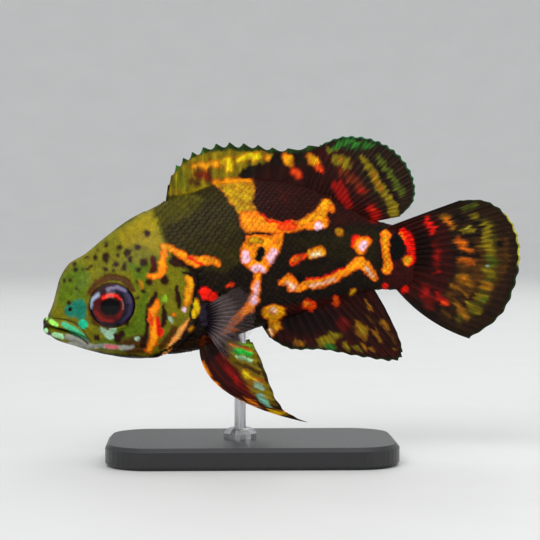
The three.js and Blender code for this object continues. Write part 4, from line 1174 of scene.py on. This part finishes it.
for side, name in ((1, "left"), (-1, "right")):
    work = bmesh.new()
    bmesh.ops.create_uvsphere(work, u_segments=96, v_segments=64, radius=1.0)
    eye = new_piece(f"eye_{name}_ball", work)
    across, height, depth = places(eye.data).T
    bulge = BULGE * np.clip(1 - np.hypot(across, height) ** 2 / BULGE_SPAN, 0, 1)
    local = (
        across[:, None] * EYE_RADIUS * fore
        + height[:, None] * EYE_RADIUS * top
        + (depth * EYE_HALF_DEPTH + bulge * (depth > 0))[:, None] * out_way
    )
    points = (np.array(EYE_MIDDLE) + local) * [1, side, 1]
    place_points(eye.data, in_row(points))
    u, v = points[:, 0] - EYE_MIDDLE[0], points[:, 2] - EYE_MIDDLE[2]
    colour = np.ones(u.shape)[:, None] * linear(EYE_WHITE)
    ragged_u = u + EYE_STRAY * grain(u, v, EYE_LUMPS, 3)
    ragged_v = v + EYE_STRAY * grain(u, v, EYE_LUMPS, 4)
    for shade, edge, strength, stroke in EYE_MARKS:
        outside = line_reach(ragged_u, ragged_v, stroke)
        colour += (linear(shade) - colour) * strength * soft_step(0.5 - outside / edge)[:, None]
    give_colour(eye.data, colour)
    mend(eye.data)
    eye.data.materials.append(eye_finish)
    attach(eye, "root")
    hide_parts(f"eye_{name}")


# Fins
# Skin stretched over rays. Each fin is a closed sheet over three rails: the roots of its rays, their
# middles and their tips. The soft rays fork towards their tips, and the skin stops short of them.
def level(rail):
    return np.array([(u, 0.0, v) for u, v in rail])


# Besides its rails a fin has a number of rays, how far out of the whole it reaches, coloured stretches
# of rim, notches between its ray tips (fringe deep, slanted, dipped and fading along the fin), its
# thickness at root and tip, how much its rays stand out, where they fork, its mesh and its waviness.
COMMON = dict(reach=1.0, rim=[], slant=1.0, dip=2, fade=0, ridge=0.3)
FINS = {
    "dorsal_fin_spiny": dict(
        COMMON,
        root=level([
            (28.6, 20.4), (31.6, 21.4), (35.6, 22.4), (40.6, 22.8), (46.4, 22.4), (52.2, 21.2),
            (58.3, 18.7),
        ]),
        tips=level([
            (29.9, 24.6), (32.4, 28.6), (36.6, 30.8), (42.4, 31.5), (48.6, 30.2), (55.0, 28.3),
            (63.2, 28.2),
        ]),
        rays=13, slant=1.7, dip=0.75, fade=0.6, fringe=0.2, thick=(1.3, 0.5), fork=0.0,
        columns=182, rows=34, wave=0.25,
    ),
    "dorsal_fin_soft": dict(
        COMMON,
        root=level([
            (57.7, 18.9), (60.4, 17.7), (62.8, 16.4), (65.0, 14.9), (67.0, 13.3), (68.8, 11.8),
            (70.4, 10.4),
        ]),
        tips=level([
            (62.3, 27.9), (67.6, 28.9), (73.6, 27.3), (78.0, 23.8), (80.4, 18.6), (79.9, 13.6),
            (76.4, 10.6),
        ]),
        rays=19, rim=[(0.0, 1.0, "rim_green")], fringe=0.025, thick=(1.7, 0.4), fork=0.5,
        columns=228, rows=76, wave=0.35,
    ),
    "caudal_fin": dict(
        COMMON,
        root=level([
            (73.6, 8.9), (75.6, 7.2), (76.8, 5.0), (77.2, 2.6), (76.8, 0.2), (75.6, -2.2), (73.4, -4.3),
        ]),
        middle=level([
            (81.5, 10.5), (85.3, 9.1), (88.0, 5.8), (88.8, 1.6), (87.5, -3.0), (84.3, -7.8),
            (79.2, -11.5),
        ]),
        tips=level([
            (89.4, 12.0), (95.0, 10.9), (99.2, 6.6), (100.4, 0.6), (98.6, -6.3), (94.1, -13.1),
            (86.8, -16.8),
        ]),
        rim=[(0.0, 0.3, "green_dark"), (0.3, 0.6, "yellow_pale"), (0.6, 1.0, "green_dark")],
        rays=16, fringe=0.015, thick=(1.9, 0.4), ridge=0.32, fork=0.4, columns=256, rows=96, wave=0.4,
    ),
    "anal_fin": dict(
        COMMON,
        root=level([
            (44.2, -6.6), (48.6, -6.0), (53.0, -5.2), (57.2, -4.4), (61.2, -3.7), (65.0, -3.1),
            (68.6, -2.9),
        ]),
        tips=level([
            (45.7, -10.0), (49.8, -13.1), (56.6, -14.4), (64.4, -17.2), (71.4, -19.0), (72.7, -15.6),
            (70.5, -7.6),
        ]),
        rays=18, rim=[(0.0, 0.9, "green_dark")], fringe=0.03, thick=(1.6, 0.4), fork=0.5,
        columns=216, rows=64, wave=0.35,
    ),
    "pectoral_fin": dict(
        COMMON,
        root=np.array([
            (33.7, 6.9, -1.0), (33.9, 6.7, -2.4), (33.9, 6.2, -3.8), (33.7, 5.6, -5.2), (33.3, 4.9, -6.4),
        ]),
        middle=np.array([
            (37.7, 11.4, 0.9), (39.3, 13.1, -1.1), (39.2, 14.0, -4.2), (37.4, 13.6, -7.4),
            (34.7, 12.0, -9.3),
        ]),
        tips=np.array([
            (41.5, 13.8, 2.4), (44.0, 16.8, -0.7), (43.8, 18.3, -5.0), (40.6, 17.6, -9.6),
            (35.8, 15.0, -12.2),
        ]),
        rays=13, reach=0.92, fringe=0.03, thick=(0.9, 0.22), ridge=0.5, fork=0.45,
        columns=156, rows=52, wave=0.1,
    ),
    "pelvic_fin": dict(
        COMMON,
        root=np.array([
            (31.3, 2.5, -9.0), (32.4, 2.8, -9.0), (33.5, 3.0, -8.9), (34.6, 3.2, -8.7), (35.7, 3.3, -8.4),
            (37.0, 3.4, -7.9),
        ]),
        middle=np.array([
            (34.8, 4.9, -18.9), (36.5, 5.3, -18.2), (38.2, 5.5, -17.0), (39.3, 5.4, -14.9),
            (39.8, 5.0, -12.5), (39.8, 4.4, -9.8),
        ]),
        tips=np.array([
            (50.6, 6.4, -27.9), (46.9, 6.8, -25.4), (45.0, 6.9, -22.2), (44.1, 6.7, -18.4),
            (43.3, 6.0, -14.2), (42.0, 5.0, -9.9),
        ]),
        rays=6, fringe=0.02, thick=(1.3, 0.35), fork=0.35, columns=120, rows=90, wave=0.15,
    ),
}
FAR_PELVIC_REACH = 0.9
# A ray is a ridge with this sharp a crest, it forks over this share of its length, and the fin thins
# to this share at its rim.
CREST = 0.7
FORK_OVER = 0.3
FORKED_HEIGHT = 0.8
RIM_THIN = 0.35


def fin_middle(fin, s, t):
    """Places on a fin's middle sheet: s runs along its roots and t out along its rays."""
    root, tips = along(fin["root"], s), along(fin["tips"], s)
    half = along(fin["middle"], s) if "middle" in fin else (root + tips) / 2
    t = t[..., None]
    return root * (1 - t) * (1 - 2 * t) + half * 4 * t * (1 - t) + tips * t * (2 * t - 1)


def fin_sheet(name, fin, side=1):
    """A fin, its points, their shares along its roots, out over its grid and out along its rays, and
    how much of a ray each is on."""
    piece = new_piece(name, sheet_grid(fin["columns"], fin["rows"]))
    grid = places(piece.data)
    s, out, face = grid[:, 0] + 0.5, grid[:, 1] + 0.5, grid[:, 2] * 2 - 1
    ray = s * fin["rays"]
    between = np.abs(np.sin(math.pi * (ray - np.floor(ray)) ** fin["slant"])) ** fin["dip"]
    fringe = fin["fringe"] * (1 - fin["fade"] * s) * (0.8 + 0.2 * grain(ray, ray * 0, 1.0, 2))
    t = out * fin["reach"] * (1 - fringe * between)
    small = 4e-3
    across = fin_middle(fin, np.minimum(s + small, 1), t) - fin_middle(fin, np.maximum(s - small, 0), t)
    outward = fin_middle(fin, s, t + small) - fin_middle(fin, s, t - small)
    normal = to_unit(np.cross(across, outward))
    whole_ray = 1 - np.abs(np.sin(math.pi * ray)) ** CREST
    forked = 1 - np.abs(np.sin(2 * math.pi * (ray - 0.25))) ** CREST
    split = soft_step((t - fin["fork"]) / FORK_OVER) if fin["fork"] else np.zeros(t.shape)
    ridge = whole_ray * (1 - split) + FORKED_HEIGHT * forked * split
    thickness = fin["thick"][0] + (fin["thick"][1] - fin["thick"][0]) * t**0.7
    thickness = thickness * (1 - fin["ridge"] + 2 * fin["ridge"] * ridge)
    inside = soft_step((1 - out) / 0.02) * soft_step(np.minimum(s, 1 - s) / 0.006)
    thickness = thickness * (RIM_THIN + (1 - RIM_THIN) * inside)
    ripple = fin["wave"] * t * np.sin(5.5 * s + 1.3 + 1.5 * t) + 0.05 * t * np.sin(2 * math.pi * ray)
    middle = fin_middle(fin, s, t)
    points = middle + normal * (ripple + face * thickness / 2)[:, None]
    points[:, 1] *= side
    place_points(piece.data, in_row(points))
    return piece, points, s, out, t, ridge


STREAK_REACH = 0.05
STREAK_START = 0.3
FIN_SOFTNESS = 1.5
RIM_BAND = 0.45


def fin_colour(fin, s, out, t, ridge, marks, ground):
    """The markings on a fin, drawn out along its rays."""
    rays = fin["rays"]
    streak = 0.45 * grain(s * rays * 2.4, t * 3.0, 1.0, 8) + 0.55 * grain(s * rays * 6.0, t * 5.0, 1.0, 7)
    soft = [(shade, edge * FIN_SOFTNESS, points) for shade, edge, points in marks]
    drawn = fin_middle(fin, s, np.clip(t + STREAK_REACH * streak * soft_step(t / STREAK_START), 0, 1))
    colour = markings(drawn[:, 0], drawn[:, 2], np.ones(s.shape), soft, ground)
    to_edge = (1 - out) * np.linalg.norm(along(fin["tips"], s) - along(fin["root"], s), axis=-1)
    for start, end, shade in fin["rim"]:
        band = soft_step((s - start) / 0.03 + 0.5) * soft_step((end - s) / 0.03 + 0.5)
        cover = band * soft_step((RIM_BAND - to_edge) / 0.2)
        colour += (linear(SHADES[shade]) - colour) * cover[:, None]
    dashes = 1 + 0.42 * streak + 0.16 * grain(s * rays * 4, t * 9, 1.0, 9)
    return colour * np.clip(dashes * (0.66 + 0.66 * ridge), 0.25, 1.8)[:, None]


def fin_material(name):
    made = Material(name, Coat_Roughness=0.2, Coat_Weight=0.03, IOR=1.36, Specular_IOR_Level=0.15)
    speckle = made.noise(made.place(), 0.3, 3.0)
    bump = made.node("Bump", Height=speckle, Strength=0.4, Distance=0.06 * MM)
    made.set(Base_Color=made.painted(speckle * 0.8 + 0.6), Roughness=speckle * 0.3 + 0.4, Normal=bump)
    return made


fin_finish = fin_material("oscar_fin").material
MIDLINE_FINS = ("dorsal_fin_spiny", "dorsal_fin_soft", "caudal_fin", "anal_fin")
marked = [(name, FINS[name], 1) for name in MIDLINE_FINS]
marked.append(("pelvic_fin_left", FINS["pelvic_fin"], -1))
marked.append(("pelvic_fin_right", dict(FINS["pelvic_fin"], reach=FAR_PELVIC_REACH), 1))
for name, fin, side in marked:
    piece, points, s, out, t, ridge = fin_sheet(f"{name}_sheet", fin, side)
    ground = ground_colour(points[:, 0], points[:, 2])
    give_colour(piece.data, fin_colour(fin, s, out, t, ridge, MARKS, ground))
    mend(piece.data)
    piece.data.materials.append(fin_finish)
    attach(piece, "root")
    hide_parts(name)

# The breast fins are clear: grey at their rays and root, where they are haziest, and dark at the root.
CLEAR_GREY = (128, 112, 112)
CLEAR_ROOT = (34, 26, 40)
ROOT_REACH = 0.34
ROOT_HAZE = 0.95
HAZE_FALL = 1.6
RAY_HAZE = 0.4
clear_made = fin_material("oscar_clear_fin")
haze = clear_made.node("Attribute", {"attribute_name": "haze"}, out=2)
clear_finish = clear_made.set(Alpha=haze)
for side, name in ((-1, "left"), (1, "right")):
    fin = FINS["pectoral_fin"]
    piece, points, s, out, t, ridge = fin_sheet(f"pectoral_fin_{name}_sheet", fin, side)
    grey = np.ones(s.shape)[:, None] * linear(CLEAR_GREY)
    root_dark = soft_step((ROOT_REACH - t) / 0.3)[:, None]
    colour = grey + (linear(CLEAR_ROOT) - grey) * root_dark
    give_colour(piece.data, colour * (0.6 + 0.5 * ridge)[:, None])
    haze_share = np.clip(ROOT_HAZE - HAZE_FALL * t, 0.05, 0.9) + RAY_HAZE * ridge * (1 - t) ** 0.8
    give_number(piece.data, np.clip(haze_share, 0, 0.95), "haze")
    mend(piece.data)
    piece.data.materials.append(clear_finish)
    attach(piece, "root")
    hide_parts(f"pectoral_fin_{name}")


# Stand
# A flat steel base in satin black lacquer, with one brushed steel rod up into the belly and a turned
# collar where it leaves the base. These are the model's own nodes with their finishes on.
def stand_material(name, shade, metallic, rough, stretch, depth):
    """Metal or lacquer with a fine grain, drawn out by stretch and as deep as depth, in millimetres."""
    made = Material(name, Metallic=metallic)
    drawn = made.node("Mapping", Vector=made.place(), Scale=Vector(stretch))
    brush = made.noise(drawn, 0.5, 3.0)
    dark, light = linear(shade) * 0.85, linear(shade) * 1.15
    colour = made.mix(brush, (*dark, 1.0), (*light, 1.0))
    bump = made.node("Bump", Height=brush, Strength=0.35, Distance=depth * MM)
    return made.set(Base_Color=colour, Roughness=brush * 0.2 + rough, Normal=bump)


lacquer = stand_material("black_lacquer", (30, 30, 32), 0.0, 0.25, (1, 1, 1), 0.02)
steel = stand_material("brushed_steel", (196, 198, 200), 1.0, 0.2, (3, 3, 0.2), 0.02)
for name, finish in (("stand_base", lacquer), ("stand_collar", steel), ("stand_rod", steel)):
    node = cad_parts[name]
    node.data.materials.clear()
    node.data.materials.append(finish)


# Studio
# A pale floor that curves up all round, under soft light from large lamps, and the camera level with
# the left side of the fish.
SWEEP_START = 1.0
SWEEP_RADIUS = 0.8
SWEEP_LENGTH = 2.9
FLOOR_DARK = (0.63, 0.63, 0.62, 1)
FLOOR_LIGHT = (0.68, 0.68, 0.67, 1)
work = bmesh.new()
bmesh.ops.create_grid(work, x_segments=96, y_segments=64, size=0.5)
floor = new_piece("floor", work)
flat = places(floor.data)
turned, swept = flat[:, 0] * 2 * math.pi, (flat[:, 1] + 0.5) * SWEEP_LENGTH
rise = np.clip((swept - SWEEP_START) / SWEEP_RADIUS, 0, math.pi / 2)
over = np.maximum(swept - SWEEP_START - SWEEP_RADIUS * math.pi / 2, 0)
reach = np.minimum(swept, SWEEP_START) + SWEEP_RADIUS * np.sin(rise)
height = SWEEP_RADIUS * (1 - np.cos(rise)) + over
place_points(floor.data, np.stack([reach * np.sin(turned), reach * np.cos(turned), height], axis=-1))
mend(floor.data, seam=1e-5)
made = Material("pale_floor", Roughness=0.6)
mottle = made.node("TexNoise", Vector=made.place(), Scale=30.0, Detail=3.0)
floor.data.materials.append(made.set(Base_Color=made.mix(mottle, FLOOR_DARK, FLOOR_LIGHT)))

world = bpy.data.worlds.new("studio")
world.use_nodes = True
world.node_tree.nodes["Background"].inputs["Color"].default_value = (0.82, 0.84, 0.87, 1)
world.node_tree.nodes["Background"].inputs["Strength"].default_value = 1.0
bpy.context.scene.world = world
bpy.context.scene.view_settings.view_transform = "Standard"

fish_middle = in_row(np.array([47.0, 0.0, 5.0]))
# Each lamp's place from the middle of the fish, its size, both in metres, and its watts.
LAMPS = {
    "key": ((-0.35, -0.7, 0.65), 0.55, 5.0),
    "fill": ((0.7, -0.5, 0.35), 0.6, 1.7),
    "top": ((0.1, 0.15, 0.9), 0.7, 1.5),
    "back": ((0.2, 0.6, 0.55), 0.6, 1.4),
}
for name, (place, size, watts) in LAMPS.items():
    light = bpy.data.lights.new(name, "AREA")
    light.size = size
    light.energy = watts
    lamp = bpy.data.objects.new(name, light)
    lamp.location = Vector(place) + Vector(fish_middle)
    lamp.rotation_euler = (-Vector(place)).to_track_quat("-Z", "Y").to_euler()
    bpy.context.scene.collection.objects.link(lamp)

# The nose tip is at pixel 44 across and 325 down of the photo's 540, and the photo holds 4.83 pixels
# to the millimetre.
PICTURE = 540
PIXELS_PER_MM = 4.83
NOSE_PIXEL = (44, 325)
LENS = 120
SENSOR = 36
VIEW_AZIMUTH = math.radians(-2)
VIEW_HEIGHT = math.radians(2)
picture_width = PICTURE / PIXELS_PER_MM * MM
distance = picture_width * LENS / SENSOR
back = np.array([
    math.sin(VIEW_AZIMUTH) * math.cos(VIEW_HEIGHT),
    -math.cos(VIEW_AZIMUTH) * math.cos(VIEW_HEIGHT),
    math.sin(VIEW_HEIGHT),
])
right = np.array([math.cos(VIEW_AZIMUTH), math.sin(VIEW_AZIMUTH), 0.0])
above = np.cross(right, -back)
offset = (np.array([PICTURE / 2, PICTURE / 2]) - NOSE_PIXEL) / PIXELS_PER_MM * MM
aim = in_row(np.array([0.0, 0.0, 0.0])) + right * offset[0] - above * offset[1]
camera_data = bpy.data.cameras.new("camera")
camera_data.lens = LENS
camera_data.sensor_width = SENSOR
camera_data.clip_start = 0.01
camera_data.clip_end = 50
camera = bpy.data.objects.new("camera", camera_data)
camera.location = Vector(aim + back * distance)
camera.rotation_euler = Vector(-back).to_track_quat("-Z", "Y").to_euler()
bpy.context.scene.collection.objects.link(camera)
bpy.context.scene.camera = camera
